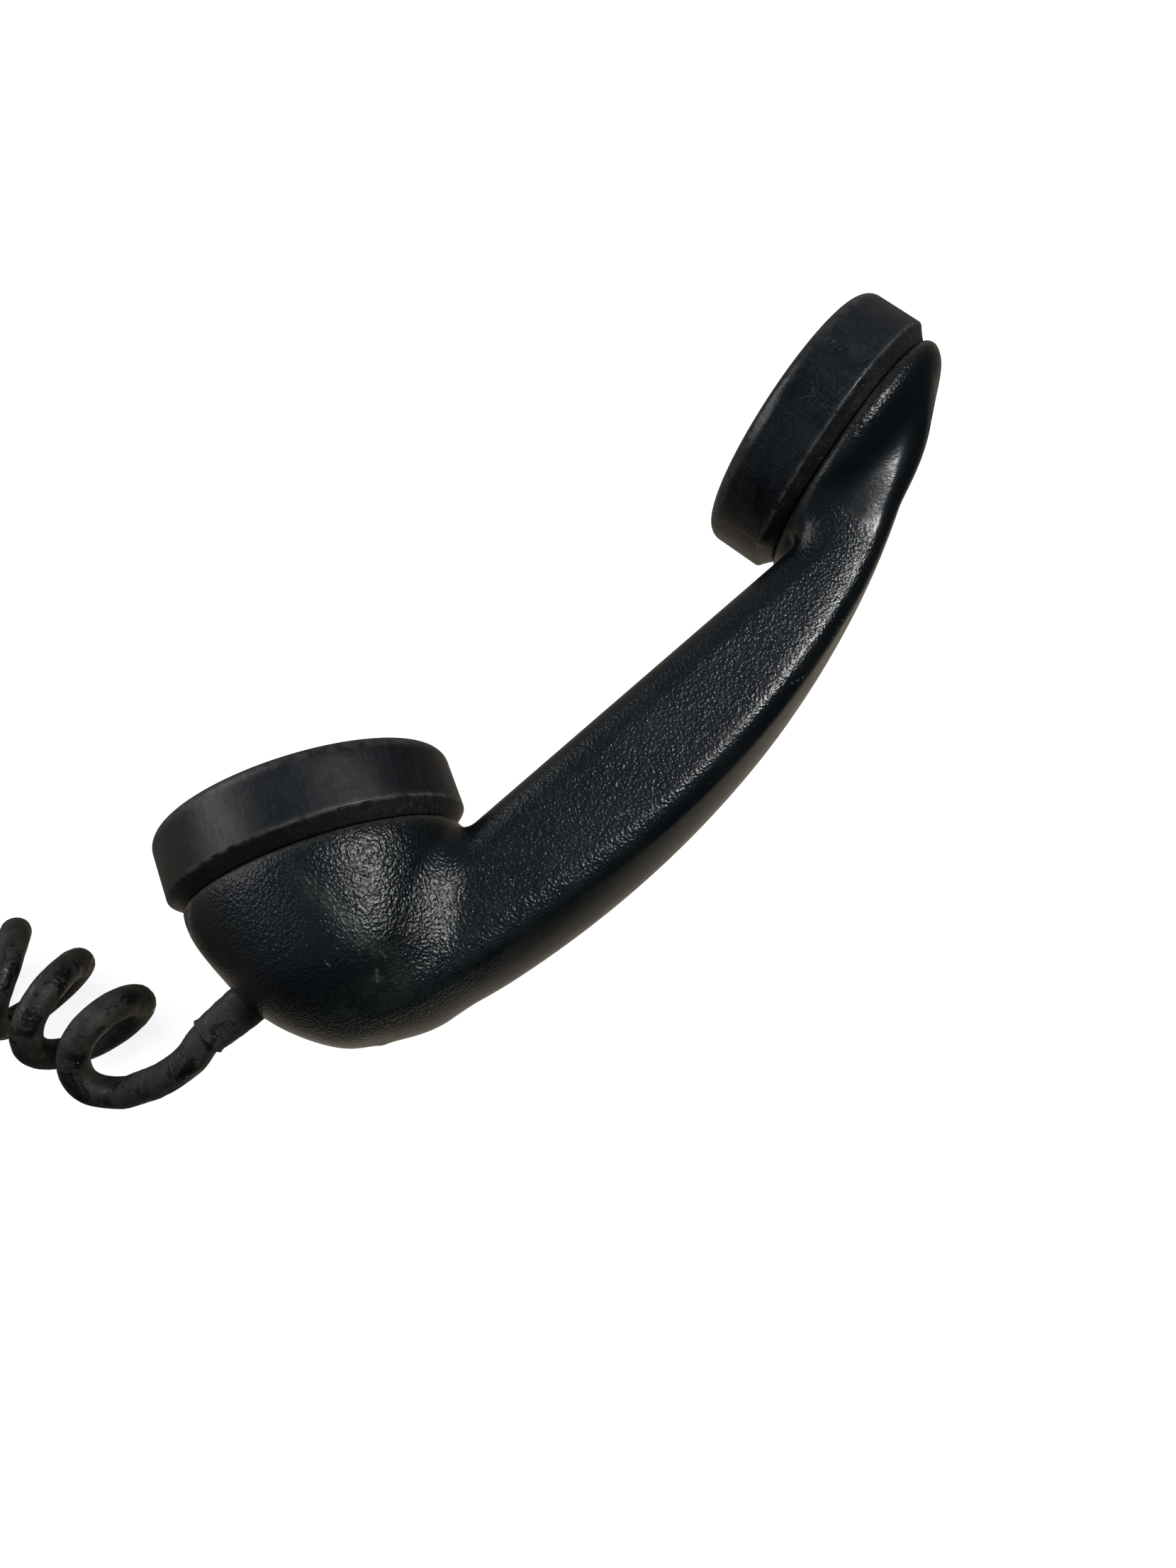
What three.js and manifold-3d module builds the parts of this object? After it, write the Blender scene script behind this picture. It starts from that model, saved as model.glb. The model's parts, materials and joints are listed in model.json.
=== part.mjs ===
// A telephone handset with its curly cord, lying on its side.
// Millimetres, +Z up; the surface it lies on is z = 0 and the handset's middle is the origin.
import * as THREE from 'three';
import { mergeVertices } from 'three/addons/utils/BufferGeometryUtils.js';
import Module from 'manifold-3d';

const wasm = await Module();
wasm.setup();

// ---------------------------------------------------------------- driving dimensions
// The handset is drawn flat, in its plane of symmetry z = 0: the transmitter's axis is +Y
// from the origin, the receiver lies towards +X, and both ends are drawn about their own +Y.
const GAP = 0.3;                      // clearance between pieces that touch
const RECEIVER_X = 141.5;             // centre of the receiver cap's rim
const RECEIVER_Y = 49.6;
const RECEIVER_TILT = THREE.MathUtils.degToRad(31.5);

const END_LINE = -Math.atan2(RECEIVER_Y, RECEIVER_X);  // turns the line of the ends onto X
const ROLL = THREE.MathUtils.degToRad(23);    // it lies with its back rolled down until both
const PITCH = THREE.MathUtils.degToRad(0.9);  // ends and the grip's edge touch the surface

const CAP_RADIUS = 32;
const CAP_BORE = 27.5;
const CAP_LIP = 3;                    // the chamfered lip below the cap's widest rim
const CAP_EDGE = 4;                   // rounding of the face's edge
const CAP_RIB = 8.6;                  // where the cap bears on its slip washer
const TRANSMITTER_CAP_HEIGHT = 13.7;
const RECEIVER_CAP_HEIGHT = 14.2;
const EAR_DISH = 2.6;                 // how deep the receiver's face is dished

const NECK_RADIUS = 27.1;
const NECK_BORE = 24;
const NECK_TOP = 5;
const RIM_RADIUS = 29;                // outside of the bowl and the cup below the caps
const RIM_Y = -CAP_LIP - GAP;

const BACK_CENTRE = new THREE.Vector2(-17.1, 180);   // the grip's back is one arc
const BACK_RADIUS = 223.5;
const INNER_DISTANCE = 192.2;         // its finger side is one straight line
const INNER_ANGLE = THREE.MathUtils.degToRad(21.3);
const GRIP_HALF_WIDTH = 16;
const GRIP_ROUND = 8;                 // rounding of the finger side
const CHANNEL_RADIUS = 5.5;           // wire channel through the grip

const SCREW_SHANK = 1.2;
const SCREW_HEAD = 2.6;
const WIRE_RADIUS = 0.8;
const LEAF_THICKNESS = 0.5;
const LEAF_WIDTH = 4;

const CORD_RADIUS = 3.5;
const CORD_EXIT = new THREE.Vector2(-24.2, -24.2);   // where the cord's axis meets the bowl
const CORD_EXIT_ANGLE = THREE.MathUtils.degToRad(20);
const CORD_INSIDE = 10;               // how far the cord's jacket reaches into the bowl
const SLEEVE_RADIUS = 4.9;            // at the bowl; the sleeve tapers to its outer end
const SLEEVE_TIP_RADIUS = 4.1;
const SLEEVE_OUTSIDE = 9.5;
const SLEEVE_INSIDE = 6.5;
const CURL_RADIUS = 13.8;             // outside of the curly cord's turns
const GROMMET_RADIUS = 6.5;
const LUG_THICKNESS = 0.8;

const RING_STEPS = 28;                // sides of the large turned pieces
const SMALL_STEPS = 14;

// ---------------------------------------------------------------- materials
const finish = (color, roughness, metalness = 0) =>
  new THREE.MeshStandardMaterial({ color, roughness, metalness });
const bakelite = finish(0x15191d, 0.42);
const capBakelite = finish(0x1b1f23, 0.5);
const rubber = finish(0x26251f, 0.7);
const fibre = finish(0x5a3a24, 0.85);
const aluminium = finish(0xb4b6b8, 0.4, 1);
const steel = finish(0x8b8d90, 0.35, 1);
const brass = finish(0xb08d4a, 0.35, 1);
const copper = finish(0xa35a35, 0.45, 1);
const felt = finish(0xcbc4b0, 0.95);
const moulding = finish(0x3a3d40, 0.6);
const tinned = finish(0xa9a9a4, 0.4, 1);
const insulation = {
  red: finish(0x8e2a22, 0.6),
  black: finish(0x1c1c1c, 0.6),
  green: finish(0x2f6b3c, 0.6),
  white: finish(0xd9d4c6, 0.6),
};

// ---------------------------------------------------------------- shape helpers
// A copy with only merged positions, turned inside out if its faces point in.
function welded(geometry) {
  const bare = new THREE.BufferGeometry();
  bare.setAttribute('position', geometry.getAttribute('position').clone());
  if (geometry.index) bare.setIndex([...geometry.index.array]);
  const merged = mergeVertices(bare, 1e-4);
  const at = merged.getAttribute('position');
  const faces = [];
  for (let i = 0; i < merged.index.count; i += 3) {
    const [a, b, c] = [0, 1, 2].map((k) => merged.index.getX(i + k));
    if (a !== b && b !== c && c !== a) faces.push([a, b, c]);
  }
  const corner = (k) => new THREE.Vector3().fromBufferAttribute(at, k);
  const volume = (sum, [a, b, c]) => sum + corner(a).dot(corner(b).cross(corner(c)));
  const inward = faces.reduce(volume, 0) < 0;
  merged.setIndex(faces.flatMap(([a, b, c]) => (inward ? [a, c, b] : [a, b, c])));
  return merged;
}

const toSolid = (geometry) => {
  const g = welded(geometry);
  return new wasm.Manifold(new wasm.Mesh({
    numProp: 3,
    vertProperties: new Float32Array(g.getAttribute('position').array),
    triVerts: new Uint32Array(g.index.array),
  }));
};

const fromSolid = (solid) => {
  const mesh = solid.getMesh();
  const g = new THREE.BufferGeometry();
  g.setAttribute('position', new THREE.BufferAttribute(mesh.vertProperties, 3));
  g.setIndex(new THREE.BufferAttribute(mesh.triVerts, 1));
  return g;
};

const join = (...parts) => fromSolid(parts.map(toSolid).reduce((a, b) => a.add(b)));
const cut = (base, ...tools) =>
  fromSolid(tools.map(toSolid).reduce((a, b) => a.subtract(b), toSolid(base)));

// A turned piece about +Y from [radius, height] points; it starts and ends on the axis,
// or the first point is repeated to close a ring.
const turned = (points, steps = RING_STEPS) =>
  new THREE.LatheGeometry(points.map(([r, y]) => new THREE.Vector2(r, y)), steps);
const ring = (inner, outer, low, high, steps = RING_STEPS) =>
  turned([[inner, low], [outer, low], [outer, high], [inner, high], [inner, low]], steps);
const disc = (radius, low, high, steps = RING_STEPS) =>
  turned([[0, low], [radius, low], [radius, high], [0, high]], steps);
const drill = (radius, low, high, x, z) => disc(radius, low, high, 8).translate(x, 0, z);

// Drills on circles about +Y: each row is [how many, circle's radius].
function drills(rows, radius, low, high) {
  return rows.flatMap(([count, circle]) =>
    Array.from({ length: count }, (_, i) => {
      const turn = (2 * Math.PI * i) / count;
      return drill(radius, low, high, circle * Math.cos(turn), circle * Math.sin(turn));
    }));
}

// A closed skin over rings of points that all have the same number of points.
function lofted(rings) {
  const n = rings[0].length;
  const centre = (points) =>
    points.reduce((sum, p) => sum.add(p), new THREE.Vector3()).divideScalar(n);
  const points = [...rings.flat(), centre(rings[0]), centre(rings.at(-1))];
  const first = rings.length * n;
  const faces = [];
  for (let j = 0; j < n; j += 1) {
    const next = (j + 1) % n;
    for (let i = 0; i + 1 < rings.length; i += 1) {
      const [a, b] = [i * n, (i + 1) * n];
      faces.push(a + j, a + next, b + next, a + j, b + next, b + j);
    }
    const last = (rings.length - 1) * n;
    faces.push(first, next, j, first + 1, last + j, last + next);
  }
  return new THREE.BufferGeometry().setFromPoints(points).setIndex(faces);
}

// A round bar along a smooth route of [x, y, z] points.
function bar(route, radius, steps, sides = 8) {
  const section = new THREE.Shape(Array.from({ length: sides }, (_, i) => {
    const turn = (2 * Math.PI * i) / sides;
    return new THREE.Vector2(radius * Math.cos(turn), radius * Math.sin(turn));
  }));
  const extrudePath = new THREE.CatmullRomCurve3(route.map((p) => new THREE.Vector3(...p)));
  return new THREE.ExtrudeGeometry(section, { steps, extrudePath, bevelEnabled: false });
}

function piece(name, geometry, material) {
  const mesh = new THREE.Mesh(geometry, material);
  mesh.name = name;
  return mesh;
}

// ---------------------------------------------------------------- handle
const onBack = (angle, radius, z) => new THREE.Vector3(
  BACK_CENTRE.x + radius * Math.sin(angle), BACK_CENTRE.y - radius * Math.cos(angle), z);
const innerRadius = (angle) => INNER_DISTANCE / Math.cos(angle - INNER_ANGLE);

// One section of the grip, square to its back: a crowned back, flat sides and a rounded
// finger side. The crown flattens towards the receiver, and both ends narrow inside the
// bowl and the cup that they run into.
function gripSection(degrees) {
  const angle = THREE.MathUtils.degToRad(degrees);
  const { clamp, smoothstep } = THREE.MathUtils;
  const back = BACK_RADIUS - 2.2 * (1 - smoothstep(degrees, 4, 12));
  const crown = clamp(7 - 0.23 * (degrees - 16), 1.3, 7);
  const inner = Math.min(innerRadius(angle), back - 15);
  const width = GRIP_HALF_WIDTH * (0.55 + 0.45 * smoothstep(degrees, 3, 12))
    * (1 - 0.4 * smoothstep(degrees, 41, 53));
  const round = Math.min(GRIP_ROUND, (back - crown - inner) * 0.45);
  const half = [];
  for (const across of [0.33, 0.67, 1]) {
    half.push([back - crown * across ** 2, width * across]);
  }
  for (const turn of [0, 0.25, 0.5, 0.75, 1].map((t) => (t * Math.PI) / 2)) {
    half.push([inner + round * (1 - Math.sin(turn)), width - round * (1 - Math.cos(turn))]);
  }
  const other = half.map(([radius, z]) => [radius, -z]).reverse();
  return [[back, 0], ...half, ...other].map(([r, z]) => onBack(angle, r, z));
}

function handleGeometry() {
  const sections = [];
  for (let degrees = 4; degrees <= 52; degrees += 3) sections.push(gripSection(degrees));
  const spline = (points, count) => new THREE.SplineCurve(
    points.map(([r, y]) => new THREE.Vector2(r, y))).getPoints(count)
    .map(({ x, y }) => [Math.max(0, x), y]);
  const neck = [[RIM_RADIUS, RIM_Y], [NECK_RADIUS, RIM_Y], [NECK_RADIUS, NECK_TOP], [0, NECK_TOP]];
  const bowl = turned([...spline([[0, -41.7], [8, -39.6], [16.5, -33.8], [23, -26.5],
    [27.8, -17], [29.8, -9.5], [29.5, -5], [RIM_RADIUS, RIM_Y]], 10), ...neck]);
  const cup = turned([...spline([[0, -17.5], [12, -16], [22, -12.9], [27.6, -9],
    [29.4, -5.8], [RIM_RADIUS, RIM_Y]], 8), ...neck]);
  const bowlHollow = turned([[0, -36], [9, -34.5], [15, -30], [19.5, -23], [21.8, -17],
    [22, -12], [NECK_BORE, -12], [NECK_BORE, NECK_TOP + 1], [0, NECK_TOP + 1]]);
  const cupHollow = turned([[0, -10.3], [19, -10.3], [NECK_BORE, -6],
    [NECK_BORE, NECK_TOP + 1], [0, NECK_TOP + 1]]);
  for (const shape of [cup, cupHollow]) {
    shape.rotateZ(RECEIVER_TILT).translate(RECEIVER_X, RECEIVER_Y, 0);
  }
  const channel = bar(channelRoute(), CHANNEL_RADIUS, 14, 12);
  const cordHole = atExit(disc(SLEEVE_RADIUS + GAP, -12, 12, SMALL_STEPS));
  return cut(join(lofted(sections), bowl, cup), bowlHollow, cupHollow, channel, cordHole);
}

// The wire channel's middle as [x, y, z] points; side moves a wire off the middle.
function channelRoute(side = 0, from = 8, to = 47.5) {
  const middle = [[8, 206], [14, 207], [22, 208], [30, 209], [38, 211.5], [43, 212.5], [47.5, 212]];
  return middle.filter(([degrees]) => degrees >= from && degrees <= to)
    .map(([degrees, radius]) => onBack(THREE.MathUtils.degToRad(degrees), radius, side).toArray());
}

// Puts a shape that is drawn about +Y at the cord's exit, with +Y pointing out of the bowl.
function atExit(geometry) {
  return geometry.rotateZ(Math.PI / 2 + CORD_EXIT_ANGLE)
    .translate(CORD_EXIT.x, CORD_EXIT.y, 0);
}

// ---------------------------------------------------------------- caps and washers
function capGeometry(height, dish, holes) {
  const outside = [[CAP_BORE, -CAP_LIP], [RIM_RADIUS, -CAP_LIP], [CAP_RADIUS, 0]];
  for (let i = 0; i <= 4; i += 1) {
    const turn = (i * Math.PI) / 8;
    outside.push([CAP_RADIUS - 0.4 - CAP_EDGE * (1 - Math.cos(turn)),
      height - CAP_EDGE * (1 - Math.sin(turn))]);
  }
  const face = dish > 0 ? [[23, height], [14, height - 0.75 * dish], [0, height - dish]]
    : [[0, height]];
  const roof = height - dish - 2.8;
  const inside = [[0, roof], [22.5, roof], [22.5, CAP_RIB], [CAP_BORE, CAP_RIB],
    [CAP_BORE, -CAP_LIP]];
  return cut(turned([...outside, ...face, ...inside]), ...drills(holes, 1.35, roof - 1, height + 1));
}

const slipWasher = () => ring(22.8, 26.8, NECK_TOP + 1.5 + 2 * GAP, CAP_RIB - GAP);

// A capsule's case: a cup whose flange rests on the neck.
function caseGeometry(radius, floor) {
  const [low, high] = [NECK_TOP + GAP, NECK_TOP + 1.5 + GAP];
  return turned([[0, floor], [radius, floor], [radius, low], [26.5, low], [26.5, high],
    [radius - 0.9, high], [radius - 0.9, floor + 1], [0, floor + 1]]);
}

// ---------------------------------------------------------------- screws and springs
// A slotted screw about +Y with its head down at y = head, and its shank pointing up.
function screw(head, length) {
  const body = join(disc(SCREW_HEAD, head - 1.5, head, SMALL_STEPS),
    disc(SCREW_SHANK, head - 0.5, head + length, 10));
  return cut(body, new THREE.BoxGeometry(6, 1, 0.7).translate(0, head - 1.4, 0));
}

// A leaf spring of even thickness along [x, y] points, with a hole in its foot.
function leafSpring(points, footX) {
  const line = points.map(([x, y]) => new THREE.Vector2(x, y));
  const along = (i) => line[i + 1].clone().sub(line[i]).normalize();
  const upper = line.map((p, i) => {
    const before = along(Math.max(0, i - 1));
    const after = along(Math.min(line.length - 2, i));
    const mitre = before.clone().add(after).normalize();
    const up = new THREE.Vector2(-mitre.y, mitre.x).multiplyScalar(Math.sign(after.x));
    return p.clone().addScaledVector(up, LEAF_THICKNESS / mitre.dot(before));
  });
  const leaf = new THREE.ExtrudeGeometry(new THREE.Shape([...line, ...upper.reverse()]),
    { depth: LEAF_WIDTH, bevelEnabled: false }).translate(0, 0, -LEAF_WIDTH / 2);
  return cut(leaf, drill(SCREW_SHANK + GAP, -20, 0, footX, 0));
}

// ---------------------------------------------------------------- the two ends
function transmitterEnd() {
  const end = new THREE.Group();
  const [cupFloor, screwX] = [-14, 14];
  const screwPlaces = [-screwX, screwX];
  const contactCup = turned([[0, -16], [21.5, -16], [21.5, -12 + GAP], [23.6, -12 + GAP],
    [23.6, -10.2], [20, -10.2], [20, cupFloor], [0, cupFloor]]);
  const shankHoles = screwPlaces.map((x) => drill(SCREW_SHANK + GAP, -17, -13, x, 0));
  const low = cupFloor + GAP;
  const centreSpring = leafSpring([[-17, low], [-10, low], [-3, -9.2], [3, -9.2]], -screwX);
  const sideSpring = leafSpring([[17, low], [11.5, low], [8.5, -7.4], [5.6, -7.4]], screwX);
  end.add(
    piece('transmitter_cap', capGeometry(TRANSMITTER_CAP_HEIGHT, 0, [[5, 6], [10, 13]]), capBakelite),
    piece('transmitter_washer', slipWasher(), fibre),
    piece('transmitter_case', caseGeometry(21, -6.5), aluminium),
    piece('transmitter_grille', cut(disc(19.7, 4.6, 5.6), ...drills([[6, 8]], 2, 4, 6)), aluminium),
    piece('transmitter_diaphragm', turned([[0, -1.2], [6, -1.2], [19.6, 2.4], [19.6, 3.2],
      [6, -0.4], [0, -0.4]]), aluminium),
    piece('transmitter_carbon_cell', disc(7.5, -5.2, -1.5, 20), brass),
    piece('transmitter_rear_contact', disc(5, -8.4, -6.8, 20), brass),
    piece('contact_cup', cut(contactCup, ...shankHoles), moulding),
    piece('contact_spring_centre', centreSpring, brass),
    piece('contact_spring_side', sideSpring, brass),
  );
  screwPlaces.forEach((x, i) => {
    const name = `transmitter_screw_${i + 1}`;
    end.add(piece(name, screw(-16 - GAP, 3.6).translate(x, 0, 0), brass));
  });
  end.rotation.y = -Math.PI / 2;      // the springs' line is square to the cord's
  return end;
}

function receiverEnd() {
  const end = new THREE.Group();
  end.position.set(RECEIVER_X, RECEIVER_Y, 0);
  end.rotation.z = RECEIVER_TILT;
  const screwZ = 9;
  const plate = new THREE.BoxGeometry(9, 1.9, 27).translate(0, -5.75, 0);
  const shankHoles = [-screwZ, screwZ].map((z) => drill(SCREW_SHANK + GAP, -8, -4, 0, z));
  end.add(
    piece('receiver_cap', capGeometry(RECEIVER_CAP_HEIGHT, EAR_DISH, [[1, 0], [6, 6]]), capBakelite),
    piece('receiver_washer', slipWasher(), fibre),
    piece('receiver_case', caseGeometry(22.5, -4.5), aluminium),
    piece('receiver_grille', cut(disc(21.2, 4.9, 5.9), ...drills([[8, 10]], 2, 4, 7)), aluminium),
    piece('receiver_diaphragm', disc(21.2, 3.2, 3.6), steel),
    piece('receiver_magnet', ring(12.5, 18, -3.2, 1.2), steel),
    piece('receiver_pole_piece', disc(4.8, -3.2, 2.2, 20), steel),
    piece('receiver_coil', ring(5.2, 12.1, -2.9, 1.6, 24), copper),
    piece('receiver_terminal_plate', cut(plate, ...shankHoles), moulding),
    piece('receiver_click_limiter', disc(2.6, -9.8, -7, SMALL_STEPS), moulding),
  );
  [-screwZ, screwZ].forEach((z, i) => {
    const name = `receiver_screw_${i + 1}`;
    end.add(piece(name, screw(-6.7 - GAP, 1.9).translate(0, 0, z), brass));
  });
  return end;
}

// ---------------------------------------------------------------- wiring inside
// A point given about the receiver's own axis, in the handset's frame.
const atReceiver = (x, y, z) => new THREE.Vector3(x, y, z)
  .applyAxisAngle(new THREE.Vector3(0, 0, 1), RECEIVER_TILT)
  .add(new THREE.Vector3(RECEIVER_X, RECEIVER_Y, 0)).toArray();

function wiring() {
  const wires = new THREE.Group();
  const plug = bar(channelRoute(0, 14, 22), CHANNEL_RADIUS - 0.8, 3, 12);
  const passages = [-1.8, 1.8].map((side) => bar(channelRoute(side, 8, 30), WIRE_RADIUS + 2 * GAP, 6));
  wires.add(piece('felt_plug', cut(plug, ...passages), felt));
  for (const [color, side] of [['red', 1], ['black', -1]]) {
    const route = [[-13.9, -20.2, side], [-9, -22, 4 * side], [-6, -21, 10 * side],
      [-3.8, -17.4, 14 * side]];
    wires.add(piece(`wire_${color}`, bar(route, WIRE_RADIUS, 9), insulation[color]));
  }
  for (const [color, side] of [['green', 1], ['white', -1]]) {
    const route = [[-13.4, -22, side], [-7, -27, 1.8 * side], [2, -28.5, 1.8 * side],
      ...channelRoute(1.8 * side, 8, 43), atReceiver(-10, -9, 2.4 * side),
      atReceiver(-6, -8.2, 6 * side), atReceiver(-3.7, -7.9, 9 * side)];
    wires.add(piece(`wire_${color}`, bar(route, WIRE_RADIUS, 22), insulation[color]));
  }
  return wires;
}

// ---------------------------------------------------------------- the cord's two fittings
function sleeve() {
  const bore = CORD_RADIUS + GAP;
  return piece('cord_sleeve', atExit(turned([[bore, -SLEEVE_INSIDE],
    [SLEEVE_RADIUS, -SLEEVE_INSIDE], [SLEEVE_RADIUS, 1], [SLEEVE_TIP_RADIUS, SLEEVE_OUTSIDE],
    [bore, SLEEVE_OUTSIDE], [bore, -SLEEVE_INSIDE]], SMALL_STEPS)), rubber);
}

function stayBand() {
  return piece('cord_stay_band', atExit(ring(CORD_RADIUS + GAP, CORD_RADIUS + 1,
    -CORD_INSIDE + 0.6, -SLEEVE_INSIDE - GAP, SMALL_STEPS)), tinned);
}

const handset = new THREE.Group();
handset.rotation.set(ROLL, PITCH, END_LINE);
handset.add(piece('handle', handleGeometry(), bakelite), transmitterEnd(), receiverEnd(),
  wiring(), stayBand());
handset.updateMatrixWorld(true);
const reach = new THREE.Box3().setFromObject(handset, true);
const middle = reach.getCenter(new THREE.Vector3());
handset.position.set(-middle.x, -middle.y, -reach.min.z);
handset.add(sleeve());
handset.updateMatrixWorld(true);

// ---------------------------------------------------------------- the cord on the surface
// The curly part's middle line lies level at CURL_RADIUS: past the transmitter, round a
// bend and back beside itself.
const curlRoute = [[-134.7, 14.8], [-138, 23.1], [-144.6, 39.2], [-152.5, 57.6], [-163, 70.4],
  [-179, 75.1], [-194.8, 69.9], [-204.8, 56.7], [-215.1, 28.4], [-225.4, 0.1], [-235.6, -27.9]];
// The straight ends of the cord, to the curly part and from it.
const leadRoute = [[-120.6, -4.6, 24.9], [-128.2, -1.3, 21], [-135.6, 4.6, 16],
  [-140.5, 9.6, 12.4]];
const tailRoute = [[-228.8, -31.2, 3.6], [-230.6, -37, 3.6], [-236.5, -43, 3.6],
  [-246, -46.6, 3.6], [-257, -47.2, 3.6], [-267, -43.4, 3.6], [-272.3, -35.6, 3.8],
  [-272.8, -24.9, 4.8], [-269.4, -15.5, 6.2], [-268, -11.7, 6.5]];
const TAIL_HEADING = THREE.MathUtils.degToRad(70);
const GROMMET_LENGTH = 24;

function cordOnSurface() {
  const cord = new THREE.Group();
  const along = (distance) => {
    const x = CORD_EXIT.x - distance * Math.cos(CORD_EXIT_ANGLE);
    const y = CORD_EXIT.y - distance * Math.sin(CORD_EXIT_ANGLE);
    return new THREE.Vector3(x, y, 0).applyMatrix4(handset.matrixWorld).toArray();
  };
  const lead = [along(-CORD_INSIDE), along(0), along(SLEEVE_OUTSIDE), ...leadRoute];
  const curl = curlRoute.map(([x, y]) => [x, y, CURL_RADIUS]);
  cord.add(
    piece('cord_lead', bar(lead, CORD_RADIUS, 12, 10), rubber),
    piece('cord_curl', bar(curl, CURL_RADIUS, 24, 12), rubber),
    piece('cord_tail', bar(tailRoute, CORD_RADIUS, 14, 10), rubber),
  );
  return cord;
}

// A spade lug about its own frame: it lies flat on y = 0 with its fork towards +X.
function lugGeometry() {
  const [barrel, length, half, slot] = [4.5, 13, 3.2, 1.7];
  const fork = new THREE.Shape([[0, -1.6], [barrel, -1.6], [barrel + 1.5, -half], [length, -half],
    [length, -slot], [barrel + 4, -slot], [barrel + 3, 0], [barrel + 4, slot], [length, slot],
    [length, half], [barrel + 1.5, half], [barrel, 1.6], [0, 1.6]]
    .map(([x, y]) => new THREE.Vector2(x, y)));
  const plate = new THREE.ExtrudeGeometry(fork, { depth: LUG_THICKNESS, bevelEnabled: false });
  const crimp = new THREE.CylinderGeometry(1.6, 1.6, barrel, 10).rotateZ(Math.PI / 2)
    .translate(barrel / 2, 0, 1.6);
  return join(plate, crimp);
}

// The far end: a grommet for the telephone's case, and four conductors with spade lugs.
// It is drawn with the cord running along +X over the surface, then turned to its heading.
function farEnd() {
  const end = new THREE.Group();
  const [x, y, z] = tailRoute.at(-1);
  end.position.set(x, y, 0);
  end.rotation.z = TAIL_HEADING;
  const [neck, groove] = [4.6, 5.2];
  const grommet = turned([[0, 0.6], [neck, 0.6], [neck + 0.6, 12], [GROMMET_RADIUS, 13],
    [GROMMET_RADIUS, 16], [groove, 16], [groove, 19], [GROMMET_RADIUS, 19],
    [GROMMET_RADIUS - 0.6, GROMMET_LENGTH], [0, GROMMET_LENGTH]], 16)
    .rotateZ(-Math.PI / 2).translate(0, 0, z);
  end.add(piece('cord_grommet', grommet, rubber));
  const start = GROMMET_LENGTH + GAP;
  Object.keys(insulation).forEach((color, i) => {
    const side = i - 1.5;
    const [spread, tip] = [9 * side, 52 - 3 * Math.abs(side)];
    const turn = Math.atan2(spread * 0.35, 12);
    const lug = piece(`lug_${color}`, lugGeometry(), tinned);
    lug.position.set(tip, spread, 0);
    lug.rotation.z = turn;
    const root = [tip - 0.4 * Math.cos(turn), spread - 0.4 * Math.sin(turn)];
    const route = [[start, 1.9 * side, z], [start + 7, 2.4 * side, z - 1],
      [start + 15, 5 * side, 2.4], [root[0] - 5 * Math.cos(turn), root[1] - 5 * Math.sin(turn), 1.6],
      [root[0], root[1], 1.6]];
    end.add(lug, piece(`conductor_${color}`, bar(route, WIRE_RADIUS, 9), insulation[color]));
  });
  return end;
}

const telephoneHandset = new THREE.Group();
telephoneHandset.add(handset, cordOnSurface(), farEnd());
export default telephoneHandset;
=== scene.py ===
"""The looks of a black telephone handset that lies on its side, with its curly cord beside it."""
import json
import math

import bmesh
import bpy
import numpy as np
from mathutils import Matrix, Vector


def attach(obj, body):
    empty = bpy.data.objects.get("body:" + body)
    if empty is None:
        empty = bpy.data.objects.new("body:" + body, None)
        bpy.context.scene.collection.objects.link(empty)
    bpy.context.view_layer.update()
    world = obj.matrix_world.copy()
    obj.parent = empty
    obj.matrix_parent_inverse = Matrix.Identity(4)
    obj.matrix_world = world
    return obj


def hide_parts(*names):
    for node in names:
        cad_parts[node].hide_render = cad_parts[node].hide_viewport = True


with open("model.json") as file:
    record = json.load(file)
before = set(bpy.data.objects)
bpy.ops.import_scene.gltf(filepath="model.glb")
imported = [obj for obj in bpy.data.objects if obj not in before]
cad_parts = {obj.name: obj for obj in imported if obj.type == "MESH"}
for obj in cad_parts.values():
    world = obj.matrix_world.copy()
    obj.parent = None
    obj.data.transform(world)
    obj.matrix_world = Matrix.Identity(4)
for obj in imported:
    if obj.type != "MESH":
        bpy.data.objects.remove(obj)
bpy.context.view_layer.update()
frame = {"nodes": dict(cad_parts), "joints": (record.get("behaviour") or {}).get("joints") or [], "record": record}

MM = 0.001
TURN = 2 * math.pi
SEED = 7
ON_AXIS = 1e-6                      # a turned outline's point this near its axis is on it


def in_scene(name, data):
    """A new object with that data, in the scene."""
    thing = bpy.data.objects.new(name, data)
    bpy.context.scene.collection.objects.link(thing)
    return thing


# ---------------------------------------------------------------- camera
CAMERA_AT = (-0.0586, -0.1533, 0.2297)
CAMERA_FORWARD = (0.14802, 0.55493, -0.81862)
CAMERA_RIGHT = (0.76431, -0.58949, -0.2614)
LENS = 27.02                    # millimetres, for the long side of a 36 mm picture
SENSOR = 36.0


def make_camera():
    data = bpy.data.cameras.new("camera")
    data.lens, data.sensor_width = LENS, SENSOR
    data.clip_start, data.clip_end = 0.01, 20
    camera = in_scene("camera", data)
    back = -Vector(CAMERA_FORWARD).normalized()
    right = Vector(CAMERA_RIGHT)
    right = (right - back * right.dot(back)).normalized()
    turn = Matrix((right, back.cross(right), back)).transposed().to_4x4()
    camera.matrix_world = Matrix.Translation(CAMERA_AT) @ turn
    bpy.context.scene.camera = camera


make_camera()

# ---------------------------------------------------------------- the handset's own frame
# In millimetres: the transmitter cap's axis is +Y from the origin, the receiver lies
# towards +X, and the handset is the same on both sides of z = 0.


def joint(name):
    return next(j for j in frame["joints"] if j["name"] == name)


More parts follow.
